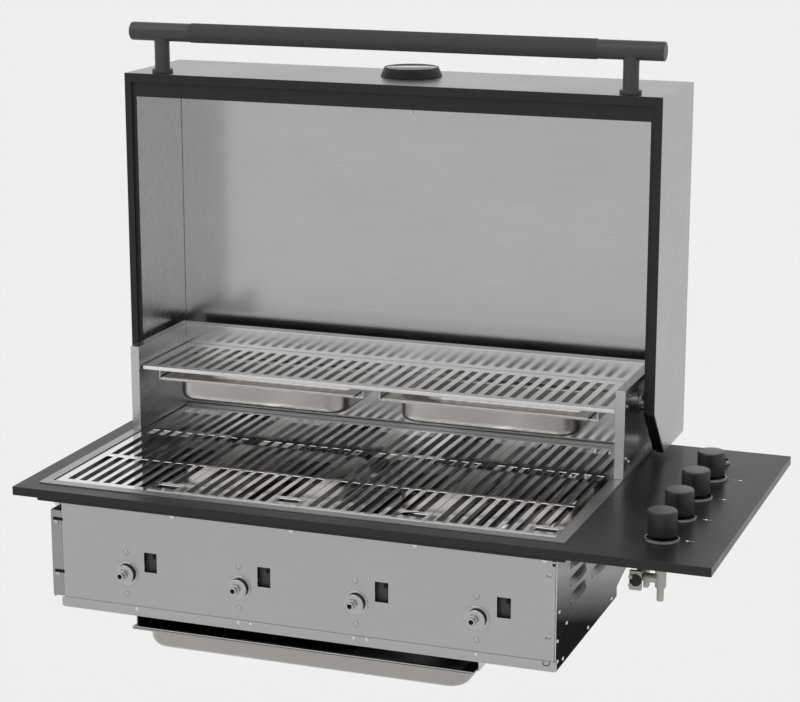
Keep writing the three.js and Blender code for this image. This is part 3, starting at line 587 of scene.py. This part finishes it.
# ------------------------------------------------------------------ firebox
def make_firebox():
    refined("front_panel", SHEET_X, bevel=0.3 * MM)
    set_in_corner(refined("bottom_plate", SHEET_X, SHEET_EDGE))
    # The left panel's front faces take a darker copy of its steel: painted shade.
    refined("side_panel_left", SHEET_Y, SHEET_EDGE, front=FLANGE_PAINTED_SHADE)
    # The right panel's front faces take brighter steel: a painted highlight along its front edge, kept out of
    # the painted shade.
    refined("side_panel_right", SIDE_SHEET_PAINTED_SHADE, SHEET_EDGE, front=BRIGHT_STEEL)
    refined("rear_wall", SHEET_X, SHEET_EDGE)
    for k in FOUR:
        refined(f"flame_tamer_{k}", SHEET_Y, SHEET_EDGE)


def set_in_corner(plate):
    """Draws in the floor plate's front left corner, so that its strip starts beside the panel's."""
    across, back, set_in = 3 * MM, 4 * MM, 17.2 * MM
    for vertex in plate.data.vertices:
        if vertex.co.x < floor_plate.x0 + across and vertex.co.y < floor_plate.y0 + back:
            vertex.co.x += set_in


def make_tamer_ports():
    """Rows of small ports along each flame tamer's feet, drawn as near-black discs: painted shade inside the
    holes.
    """
    count, margin, inset = 56, 14 * MM, 4 * MM
    port = rod(radius=1.9 * MM, start=0.6 * MM, end=1.6 * MM)
    for k in FOUR:
        tamer = Box(f"flame_tamer_{k}")
        row = tamer.y1 - tamer.y0 - 2 * margin
        bm = bmesh.new()
        for x in (tamer.x0 + inset, tamer.x1 - inset):
            for i in range(count):
                y = tamer.y0 + margin + row * i / (count - 1)
                lathe(bm, port, Vector((x, y, tamer.z0)), Z, segments=10)
        add_piece(f"flame_tamer_ports_{k}", bm, BLACK_AND_HOLE_SHADE, f"flame_tamer_{k}")


# Outlines of a burner's front fittings in mm: distance from the middle, then depth behind the
# panel's face, so a negative depth stands out to the front.
COLLAR = ((0, -8), (15, -8), (15.4, -7.6), (15.4, -6), (15, -5.6), (11.5, -5.6), (11.5, -1.2),
          (19.6, -1.2), (20, -0.8), (20, 0), (13, 0), (13, 24), (0, 24))
JET_NUT = ((3.6, -8), (3.6, -12.6), (8, -12.6), (8.5, -12.1), (8.5, -8), (3.6, -8))
JET_STUD = ((3.8, -9), (3.8, -17.6), (5.2, -17.6), (5.6, -17.2), (5.6, -9), (3.8, -9))


def bar_section(middle, y, shrink):
    """Points round a burner's bar at one place along it."""
    half, rise, ease = 30 * MM, 15 * MM, 1 * MM
    ring = rounded_loop(-half + shrink, half - shrink, -rise + shrink, rise - shrink,
                        rise - shrink - ease, 0, steps=6)
    return [middle + Vector((x, y, z)) for x, z, _ in ring]


def make_burners():
    """Each burner: a rounded bar, a necked collar on the front panel and a hollow jet stud."""
    front_gap, back_gap, bar_edge = 32.3 * MM, 38.2 * MM, 1.5 * MM
    proud, tail_radius, overlap, stud_shift = 0.3 * MM, 7.5 * MM, 2 * MM, 2.5 * MM
    for k, box in zip(FOUR, BURNERS):
        front, back = box.y0 + front_gap, box.y1 - back_gap
        middle = Vector((box.cx, 0, box.cz))
        spot = Vector((box.cx, panel.y0 - proud, box.cz))
        stud_spot = spot - X * stud_shift
        bm = bmesh.new()
        skin(bm, [bar_section(middle, y, shrink) for y, shrink in
                  ((front, bar_edge), (front + bar_edge, 0), (back - bar_edge, 0), (back, bar_edge))])
        lathe(bm, in_mm(COLLAR), spot, Y, segments=56)
        lathe(bm, in_mm(JET_STUD), stud_spot, Y, segments=32)
        lathe(bm, in_mm(JET_NUT), stud_spot, Y, segments=6)
        tail = Vector((box.cx, back - overlap, box.cz))
        lathe(bm, rod(tail_radius, 0, box.y1 - back + overlap), tail, Y, segments=40)
        stand_in(f"burner_{k}", bm, COLLAR_STEEL)
        bm = bmesh.new()
        # A near-black plug in the stud's bore: painted shade inside the hole.
        lathe(bm, rod(radius=3.7 * MM, start=-15 * MM, end=-9 * MM), stud_spot, Y, segments=24)
        add_piece(f"jet_bore_{k}", bm, BLACK_AND_HOLE_SHADE, f"burner_{k}")


def make_igniter_brackets():
    """A folded bracket on the side of each burner, seen through the panel's window, with the
    igniter's round tip on it."""
    beside, behind, edge = 30.4 * MM, 7 * MM, 0.3 * MM
    width, depth, thick, foot, top = 27, 14, 1.2, 2, 46
    for k, box in zip(FOUR, BURNERS):
        corner = Vector((box.cx + beside, panel.y0 + behind, box.cz))
        plate, tip = bmesh.new(), bmesh.new()
        block(plate, shifted(corner, 0, 0, foot), shifted(corner, width, thick, top), edge)
        block(plate, shifted(corner, 0, thick, foot), shifted(corner, thick, depth, top), edge)
        lathe(tip, rounded(rod(3.6 * MM, 0, 3 * MM), 0.8 * MM), shifted(corner, 17, 0, 31), -Y, 24)
        add_piece(f"igniter_bracket_{k}", plate, BRACKET, f"burner_{k}")
        add_piece(f"igniter_tip_{k}", tip, BLACK_AND_HOLE_SHADE, f"burner_{k}")


def make_panel_details():
    """Pressed pips above and below each collar, tabs and slots at the panel's ends, and a bent
    hook mark on the floor plate's front strip. Heights and sizes are in mm."""
    pip_shift, tiny = 0.5 * MM, 0.05 * MM
    bm = bmesh.new()
    for box in BURNERS:
        for up in (34.6, -33.6):
            spot = Vector((box.cx + pip_shift, panel.y0, box.cz + up * MM))
            rivet(bm, spot, -Y, radius=4.6 * MM, height=2.4 * MM)
    add_piece("panel_pips", bm, SHEET_X, "front_panel")

    slots, pins = bmesh.new(), bmesh.new()
    for down in (52, 138):
        corner = Vector((deck.x0 + 58 * MM, panel.y0, deck.z1 - down * MM))
        block(slots, shifted(corner, 0, -0.2, -2.6), shifted(corner, 17, 0.2, 2.6), tiny)
        block(pins, shifted(corner, 1, -1.2, -7), shifted(corner, 9, -0.2, -2.2), 0.4 * MM)
    for down in (26, 121):
        corner = Vector((panel.x1 - 12 * MM, panel.y0, panel.z1 - down * MM))
        block(pins, shifted(corner, 0, -0.8, -9), shifted(corner, 6.5, -0.1, -1), 0.3 * MM)
        block(slots, shifted(corner, -1.4, -0.2, -10), shifted(corner, 6.5, 0.2, -7), tiny)
    for down, tall in ((5, 7), (15, 4)):
        corner = Vector((panel.x1 - 5 * MM, panel.y0, panel.z1 - down * MM))
        block(slots, shifted(corner, 0, -0.2, -tall), shifted(corner, 4.5, 0.2, 0), tiny)
    notch = Vector((floor_plate.x1 - 21 * MM, floor_plate.y0, floor_plate.z1 - 0.5 * MM))
    hook = [shifted(notch, *step) for step in ((0, 0, 0), (0, 0, -6), (10, 0, -6), (10, 0, 0))]
    sweep(slots, bent(hook, radius=4.5 * MM), radius=0.7 * MM, sides=8)
    # The slots are near-black blocks on the panel's face: painted shade in the openings. The hook mark is
    # near-black too.
    add_piece("panel_tab_slots", slots, BLACK_AND_HOLE_SHADE, "front_panel")
    add_piece("panel_tabs", pins, COLLAR_STEEL, "front_panel")


def make_firebox_rivets():
    """Rivets along the floor plate's strip and on the side panels, in mm from the deck's front
    left top corner."""
    along_strip, below_top = (201, 374, 394.5, 564, 585, 758), 4 * MM
    back_and_down = ((35, 106), (28, 149), (75, 137), (29, 181), (58, 187), (195, 187), (332, 187))
    bm = bmesh.new()
    for x in along_strip:
        spot = Vector((deck.x0 + x * MM, floor_plate.y0, floor_plate.z1 - below_top))
        rivet(bm, spot, -Y, radius=3 * MM, height=1.6 * MM)
    add_piece("floor_rivets", bm, BRIGHT_STEEL, "bottom_plate")
    for side, outward in OUTWARD.items():
        box = Box(f"side_panel_{side}")
        x = box.x0 if side == "left" else box.x1
        bm = bmesh.new()
        for back, down in back_and_down:
            spot = Vector((x, deck.y0 + back * MM, deck.z1 - down * MM))
            rivet(bm, spot, outward, radius=3.4 * MM, height=2 * MM)
        add_piece(f"side_rivets_{side}", bm, BRIGHT_STEEL, f"side_panel_{side}")


def scoop_rings(face, y, top):
    """Cross-sections of one louvre scoop, which leans out of a face and tapers to its ends."""
    length, rise, lean, thick, steps, fullness = 84 * MM, 13 * MM, 7 * MM, 0.9 * MM, 10, 0.45
    rings = []
    for i in range(steps + 1):
        t = i / steps
        swell = math.sin(math.pi * t) ** fullness
        at = y + length * t
        rings.append([(face - 0.4 * MM, at, top), (face + lean * swell * 0.55, at, top - rise * 0.35),
                      (face + lean * swell, at, top - rise * 0.9),
                      (face + lean * swell - thick, at, top - rise * 0.9),
                      (face + lean * swell * 0.55 - thick, at, top - rise * 0.4),
                      (face - 1.2 * MM, at, top - 1 * MM)])
    return rings


def make_louvres():
    """Pressed scoops over the right side panel's slots: three columns of three."""
    first_back, pitch_back, columns = 92, 120, 3
    first_up, pitch_up, rows = -115, 27.5, 3
    scoop_top = 13 * MM + 1.5 * MM
    face = Box("side_panel_right").x1
    bm = bmesh.new()
    for column in range(columns):
        for row in range(rows):
            y = deck.y0 + (first_back + pitch_back * column) * MM
            z = deck.z1 + (first_up + pitch_up * row) * MM
            skin(bm, scoop_rings(face, y, z + scoop_top))
    # The scoops' steel carries painted shade: dark for the shade inside them, darker towards the foot.
    add_piece("louvre_scoops", bm, LOUVRE_PAINTED_SHADE, "side_panel_right", sharp=50)


# ------------------------------------------------------------------ drip tray
def make_drip_tray():
    refined("drip_rails", SHEET_Y, SHEET_EDGE)
    bm, box = drawn_tray("drip_tray", side=16 * MM, front=11 * MM, thick=1.5 * MM, corner=34 * MM,
                         foot=18 * MM, sunk=1.5 * MM)
    lip_thick, lip_foot = 2 * MM, 5.5 * MM
    block(bm, (box.x0, box.y0, box.z1 - lip_foot), (box.x1, box.y0 + lip_thick, box.z1),
          bevel=0.9 * MM, segments=3)
    stand_in("drip_tray", bm, DRAWN_STEEL)


# ------------------------------------------------------------------ hood
HINGE_PIN = ((0, 0), (18, 0), (18, 2.5), (13.5, 2.5), (13.5, 19.7), (6, 19.7), (6, 38.7), (0, 38.7))
HANDLE_POST = ((0, 0), (17.5, 0), (17.5, 6), (13, 6), (12.6, 12), (12.6, 48), (13, 54), (13, 60), (0, 60))


def make_hood():
    refined("hood_shell", HOOD_SKIN, bevel=0.8 * MM, segments=3)
    refined("hood_liner", LINER_SKIN, bevel=0.4 * MM)
    for side in OUTWARD:
        refined(f"hood_inner_side_{side}", SIDE_SKIN, bevel=0.4 * MM)
    refined("hood_trim", POWDER, bevel=0.5 * MM)


def make_hinges():
    for side, outward in OUTWARD.items():
        node = f"hinge_pin_{side}"
        box = Box(node)
        inner = Vector((box.x1 if side == "left" else box.x0, box.cy, box.cz))
        bm = bmesh.new()
        lathe(bm, rounded(in_mm(HINGE_PIN), 0.8 * MM), inner, outward, segments=56)
        stand_in(node, bm, BRIGHT_STEEL)


def make_handle():
    """A round bar on two posts, with a finely ribbed sleeve over its middle."""
    bar, grip = Box("handle_bar"), Box("handle_grip")
    radius = (bar.z1 - bar.z0) / 2
    bm = bmesh.new()
    lathe(bm, rounded(rod(radius, 0, bar.x1 - bar.x0), 2.2 * MM, 6), Vector((bar.x0, bar.cy, bar.cz)), X, 96)
    stand_in("handle_bar", bm, HANDLE_COAT)

    play, soft, ribs, rib_depth = 0.15 * MM, 0.4 * MM, 60, 0.14 * MM
    outer = (grip.z1 - grip.z0) / 2 - play
    inner = radius + play
    length = grip.x1 - grip.x0
    sleeve = [(inner, 0), (outer - soft, 0), (outer, 0.5 * MM), (outer, length - 0.5 * MM),
              (outer - soft, length), (inner, length), (inner, 0)]
    bm = bmesh.new()
    lathe(bm, sleeve, Vector((grip.x0, grip.cy, grip.cz)), X, segments=240,
          flute=lambda angle: rib_depth * math.cos(ribs * angle))
    stand_in("handle_grip", bm, GRIP)

    for side in OUTWARD:
        node = f"handle_post_{side}"
        post = Box(node)
        bm = bmesh.new()
        lathe(bm, rounded(in_mm(HANDLE_POST), 0.9 * MM), Vector((post.cx, post.cy, post.z0)), Z, 64)
        stand_in(node, bm, HANDLE_COAT)


def make_thermometer():
    bezel, dial, glass = Box("thermometer_bezel"), Box("thermometer_dial"), Box("thermometer_glass")
    base = Vector((bezel.cx, bezel.cy, bezel.z0))
    outer = (bezel.x1 - bezel.x0) / 2
    well = (glass.x1 - glass.x0) / 2 + 0.3 * MM
    high = bezel.z1 - bezel.z0
    profile = [(well, 0), (outer, 0), (outer, 1.5 * MM), (outer - 5.6 * MM, high - 0.8 * MM),
               (outer - 6.2 * MM, high - 0.2 * MM), (well + 0.3 * MM, high - 0.2 * MM),
               (well, high - 0.6 * MM), (well, 0)]
    bm = bmesh.new()
    lathe(bm, profile, base, Z, segments=96)
    stand_in("thermometer_bezel", bm, POWDER)

    face = base + Z * 10 * MM
    bm = bmesh.new()
    lathe(bm, rounded(rod(well - 0.4 * MM, -9.9 * MM, 0), 0.4 * MM, 2), face, Z, segments=80)
    probe_tip = Vector((base.x, base.y, dial.z0))
    lathe(bm, rounded(rod(3 * MM, 0, base.z - dial.z0), 1.2 * MM), probe_tip, Z, segments=32)
    stand_in("thermometer_dial", bm, DIAL_PAINT)
    make_scale(face)
    make_needle(face)

    bm = bmesh.new()
    pane = rounded(rod(well - 0.3 * MM, 0, glass.z1 - glass.z0), 0.3 * MM, 2)
    lathe(bm, pane, Vector((glass.cx, glass.cy, glass.z0)), Z, segments=80)
    stand_in("thermometer_glass", bm, GLASS)


def make_scale(face):
    """Short strokes round three quarters of the dial, with every fourth one longer."""
    count, start, sweep_angle, ring = 24, -135, 270, 36 * MM
    marks = bmesh.new()
    for i in range(count + 1):
        angle = math.radians(start + sweep_angle * i / count)
        long, wide = (6 * MM, 0.9 * MM) if i % 4 == 0 else (3.2 * MM, 0.5 * MM)
        turn = Matrix.Translation(face) @ Matrix.Rotation(-angle, 4, "Z")
        place = turn @ Matrix.Translation((0, ring - long / 2, 0.1 * MM))
        bmesh.ops.create_cube(marks, size=1, matrix=place @ Matrix.Diagonal((wide, long, 0.2 * MM, 1)))
    add_piece("thermometer_marks", marks, BLACK_AND_HOLE_SHADE, "thermometer_dial")


def make_needle(face):
    """A flat tapered needle that points to the scale's start, on a small hub."""
    turn = Matrix.Translation(face) @ Matrix.Rotation(math.radians(135), 4, "Z")
    lie = Matrix.Rotation(-math.pi / 2, 4, "X") @ Matrix.Diagonal((1, 0.25, 1, 1))
    needle = bmesh.new()
    bmesh.ops.create_cone(needle, cap_ends=True, segments=4, radius1=2.2 * MM, radius2=0.3 * MM,
                          depth=34 * MM, matrix=turn @ Matrix.Translation((0, 13 * MM, 1.2 * MM)) @ lie)
    lathe(needle, rounded(rod(3.4 * MM, 0, 2.4 * MM), 0.5 * MM), face, Z, segments=32)
    add_piece("thermometer_needle", needle, BLACK_AND_HOLE_SHADE, "thermometer_dial")


# ------------------------------------------------------------------ controls
def make_knobs():
    """Each knob with its rounded rim, paler cap and stem."""
    bore, depth = 4.4 * MM, 21.8 * MM
    for k, box in zip(FOUR, KNOBS):
        radius = (box.x1 - box.x0) / 2
        height = box.z1 - box.z0
        profile = [(bore, 0), (radius - 0.8 * MM, 0), (radius, 0.8 * MM), (radius, height - 2 * MM),
                   (radius - 0.5 * MM, height - 0.7 * MM), (radius - 1.8 * MM, height), (0, height)]
        outside = [(0, depth), (bore, depth)] + rounded(profile, 0.6 * MM)
        bm = bmesh.new()
        lathe(bm, outside, Vector((box.cx, box.cy, box.z0)), Z, segments=96)
        stand_in(f"knob_{k}", bm, KNOB_PLASTIC)
        cap = rounded(rod(radius - 1.4 * MM, -0.6 * MM, 0.12 * MM), 0.08 * MM)
        bm = bmesh.new()
        lathe(bm, cap, Vector((box.cx, box.cy, box.z1)), Z, segments=96)
        add_piece(f"knob_cap_{k}", bm, KNOB_TOP, f"knob_{k}")

        stem = Box(f"valve_stem_{k}")
        pin = rounded(rod((stem.x1 - stem.x0) / 2, 0, stem.z1 - stem.z0), 0.6 * MM)
        bm = bmesh.new()
        lathe(bm, pin, Vector((stem.cx, stem.cy, stem.z0)), Z, segments=40)
        stand_in(f"valve_stem_{k}", bm, BLACK_OXIDE)


def make_knob_rings():
    """A dark chrome ring on the deck round each knob, with a black plate inside it: painted shade in the
    recess under the knob.
    """
    ring = ((22.4, 0.1), (26.6, 0.1), (26.8, 1), (26, 3.2), (24.6, 4.2), (23.2, 4), (22.4, 3), (22.4, 0.1))
    # The plate is painted shade between the knob's foot and the ring.
    plate = ((6.2, 0.1), (22.2, 0.1), (22.2, 1), (6.2, 1), (6.2, 0.1))
    for k, box in zip(FOUR, KNOBS):
        spot = Vector((box.cx, box.cy, deck.z1))
        for name, profile, segments, material in (
                ("ring", ring, 96, CHROME), ("plate", plate, 64, BLACK_AND_HOLE_SHADE)):
            bm = bmesh.new()
            lathe(bm, in_mm(profile), spot, Z, segments)
            add_piece(f"knob_{name}_{k}", bm, material, "deck_plate")


def make_marks():
    """Four small dots by each knob; the one that stands for its own burner is larger."""
    back, large, small = 5 * MM, 2.2 * MM, 0.8 * MM
    bm = bmesh.new()
    for k, box in zip(FOUR, KNOBS):
        for i, x in enumerate((36.4, 40, 43.7, 47)):
            radius = large if i + 1 == k else small
            spot = Vector((box.cx + x * MM, box.cy + back, deck.z1))
            lathe(bm, rod(radius, 0.02 * MM, 0.12 * MM), spot, Z, segments=16)
    add_piece("burner_marks", bm, MARK_PAINT, "deck_plate")


def make_igniter():
    """The igniter's turned housing in the deck and its push button."""
    body, button = Box("igniter_housing"), Box("igniter_button")
    low, top, bore = body.z0 - deck.z1, 3 * MM, 5.3 * MM
    profile = [(bore, low), (13 * MM, low), (13 * MM, -3.3 * MM), (9.6 * MM, -3.3 * MM),
               (9.6 * MM, 0.3 * MM), (12 * MM, 0.3 * MM), (12 * MM, 1.4 * MM), (10.5 * MM, top),
               (bore, top), (bore, low)]
    bm = bmesh.new()
    lathe(bm, profile, Vector((body.cx, body.cy, deck.z1)), Z, segments=72)
    stand_in("igniter_housing", bm, CHROME)
    plunger = ((0, 0), (5, 0), (5, 36.3), (8.5, 36.3), (8.5, 40), (7.2, 41.2), (4, 40.6), (0, 40.4))
    bm = bmesh.new()
    lathe(bm, rounded(in_mm(plunger), 0.5 * MM), Vector((button.cx, button.cy, button.z0)), Z, 64)
    stand_in("igniter_button", bm, KNOB_PLASTIC)


# ------------------------------------------------------------------ gas train
def make_valves():
    """Each valve: a turned body with a flange and outlet, an inlet arm, a nut and a side screw.
    The first one's outlet is longer."""
    for k in FOUR:
        box = Box(f"valve_{k}")
        stem = Box(f"valve_stem_{k}")
        at = Vector((stem.cx, stem.cy, deck.z1))
        foot = -94 if k == 1 else -84
        body = ((0, foot), (5.2, foot), (5.2, -76), (6.4, -75), (6.4, -73.5), (8.25, -73), (8.25, -7),
                (14, -7), (14, -3.4), (4.4, -3.4), (4.4, -24), (0, -24))
        arm, arm_down_mm = stem.cx - box.x0, 60.5
        bm = bmesh.new()
        lathe(bm, rounded(in_mm(body), 0.6 * MM, 3), at, Z, segments=56)
        arm_end = at - Z * arm_down_mm * MM - X * arm
        lathe(bm, rounded(rod(6.9 * MM, 0, arm), 0.5 * MM, 2), arm_end, X, segments=32)
        block(bm, shifted(at, -24.5, -6, -75), shifted(at, -17.3, 6, -60), bevel=0.8 * MM)
        lathe(bm, rounded(rod(4.2 * MM, 0, 5 * MM), 0.5 * MM, 2), shifted(at, 0, -7, -46), -Y, 6)
        stand_in(f"valve_{k}", bm, CASTING)


def make_gas_pipes():
    """The manifold pipe with a clamped front end, and its inlet: a hex nut and a nipple."""
    pipe = Box("gas_manifold")
    radius, inlet, clamp_foot = 8.6 * MM, 42 * MM, 16 * MM
    centre = Vector((pipe.cx, pipe.y0, pipe.z0 + clamp_foot))
    bm = bmesh.new()
    lathe(bm, rounded(rod(radius, 0, pipe.y1 - pipe.y0 - inlet), 0.8 * MM), centre, Y, segments=48)
    block(bm, shifted(centre, -10, 1, -16), shifted(centre, 8.4, 8, 14), bevel=1.4 * MM, segments=3)
    for up in (5, -8):
        lathe(bm, rounded(rod(3.2 * MM, 0, 3 * MM), 0.5 * MM), shifted(centre, -7.5, 1, up), -Y, 24)
    nut = Vector((pipe.cx, pipe.y1 - inlet, centre.z))
    lathe(bm, rounded(rod(14 * MM, 0, 18 * MM), 1 * MM, 3), nut, Y, segments=6)
    nipple = ((0, 10), (10.5, 10), (10.5, 41), (9.5, 42), (6.5, 42), (6.5, 26), (0, 26))
    lathe(bm, in_mm(nipple), nut, Y, segments=48)
    stand_in("gas_manifold", bm, CASTING)
    bm = bmesh.new()
    lathe(bm, rounded(rod(radius + 0.6 * MM, -0.8 * MM, 1.2 * MM), 0.6 * MM), centre, Y, segments=48)
    add_piece("gas_manifold_cap", bm, POWDER, "gas_manifold")


def make_supply_tubes():
    """A bent tube from each valve's outlet to its burner, and two clips that hold the four."""
    box = Box("supply_tubes")
    radius, below_top, pitch, bend = 4 * MM, 6 * MM, 11 * MM, 14 * MM
    outlet, burner_gap = 8.6 * MM, 2.1 * MM
    lane_x, lane_y = box.x1 - radius, box.y1 - radius
    bm = bmesh.new()
    for i, (burner, knob) in enumerate(zip(BURNERS, KNOBS)):
        z = box.z1 - below_top - pitch * i
        start = Vector((knob.cx + outlet, knob.cy, z))
        route = [start, Vector((lane_x, knob.cy, z)), Vector((lane_x, lane_y, z)),
                 Vector((burner.cx, lane_y, z)), Vector((burner.cx, lane_y, burner.cz)),
                 Vector((burner.cx, burner.y1 + burner_gap, burner.cz))]
        sweep(bm, bent(route, bend), radius)
        lathe(bm, rounded(rod(6.5 * MM, 0, 9 * MM), 0.6 * MM), start + X * 0.5 * MM, X, segments=6)
    stand_in("supply_tubes", bm, TUBE_METAL)

    clips = bmesh.new()
    low, high, outer, inner, edge = box.z1 - 12 * MM - 3 * pitch, box.z1, 5.5 * MM, 4.2 * MM, 0.4 * MM
    block(clips, (lane_x - outer, box.y1 - 92 * MM, low), (lane_x - inner, box.y1 - 80 * MM, high), edge)
    block(clips, (deck.x0 + 800 * MM, lane_y - outer, low), (deck.x0 + 812 * MM, lane_y - inner, high), edge)
    add_piece("supply_tube_clips", clips, SHEET_X, "supply_tubes")


# ------------------------------------------------------------------ stage
def make_stage():
    """A wide pale floor some way below the hanging barbecue, and an even sky."""
    size, drop, sky = 80, 1.4, 0.8
    bm = bmesh.new()
    bmesh.ops.create_grid(bm, x_segments=1, y_segments=1, size=size / 2)
    bmesh.ops.translate(bm, verts=bm.verts, vec=(0, 0, CAD_BOX[0][2] - drop))
    mesh = bpy.data.meshes.new("floor")
    bm.to_mesh(mesh)
    bm.free()
    floor = bpy.data.objects.new("floor", mesh)
    bpy.context.scene.collection.objects.link(floor)
    finish = Finish("floor_paint", (0.83, 0.83, 0.83), 0.0, 0.9)
    finish.shader.inputs["Specular IOR Level"].default_value = 0.05
    mesh.materials.append(finish.material)

    world = bpy.data.worlds.new("studio")
    world.use_nodes = True
    background = world.node_tree.nodes["Background"]
    background.inputs["Color"].default_value = (1, 1, 1, 1)
    background.inputs["Strength"].default_value = sky
    bpy.context.scene.world = world
    bpy.context.scene.view_settings.view_transform = "Standard"


def make_sun(name, direction, spread, strength):
    """A soft sun; its spread is the angle in degrees that it fills in the sky."""
    data = bpy.data.lights.new(name, "SUN")
    data.angle = math.radians(spread)
    data.energy = strength
    lamp = bpy.data.objects.new(name, data)
    lamp.rotation_euler = Vector(direction).to_track_quat("-Z", "Y").to_euler()
    bpy.context.scene.collection.objects.link(lamp)


make_camera()
make_deck()
make_deck_screws()
make_back()
make_cheek_bolts()
make_pans()
make_firebox()
make_tamer_ports()
make_burners()
make_igniter_brackets()
make_panel_details()
make_firebox_rivets()
make_louvres()
make_drip_tray()
make_hood()
make_hinges()
make_handle()
make_thermometer()
make_knobs()
make_knob_rings()
make_marks()
make_igniter()
make_valves()
make_gas_pipes()
make_supply_tubes()
make_stage()
make_sun("key", direction=(0.5, 0.7, -1.0), spread=50, strength=0.75)
make_sun("fill", direction=(-0.8, 0.3, -1.0), spread=60, strength=0.25)
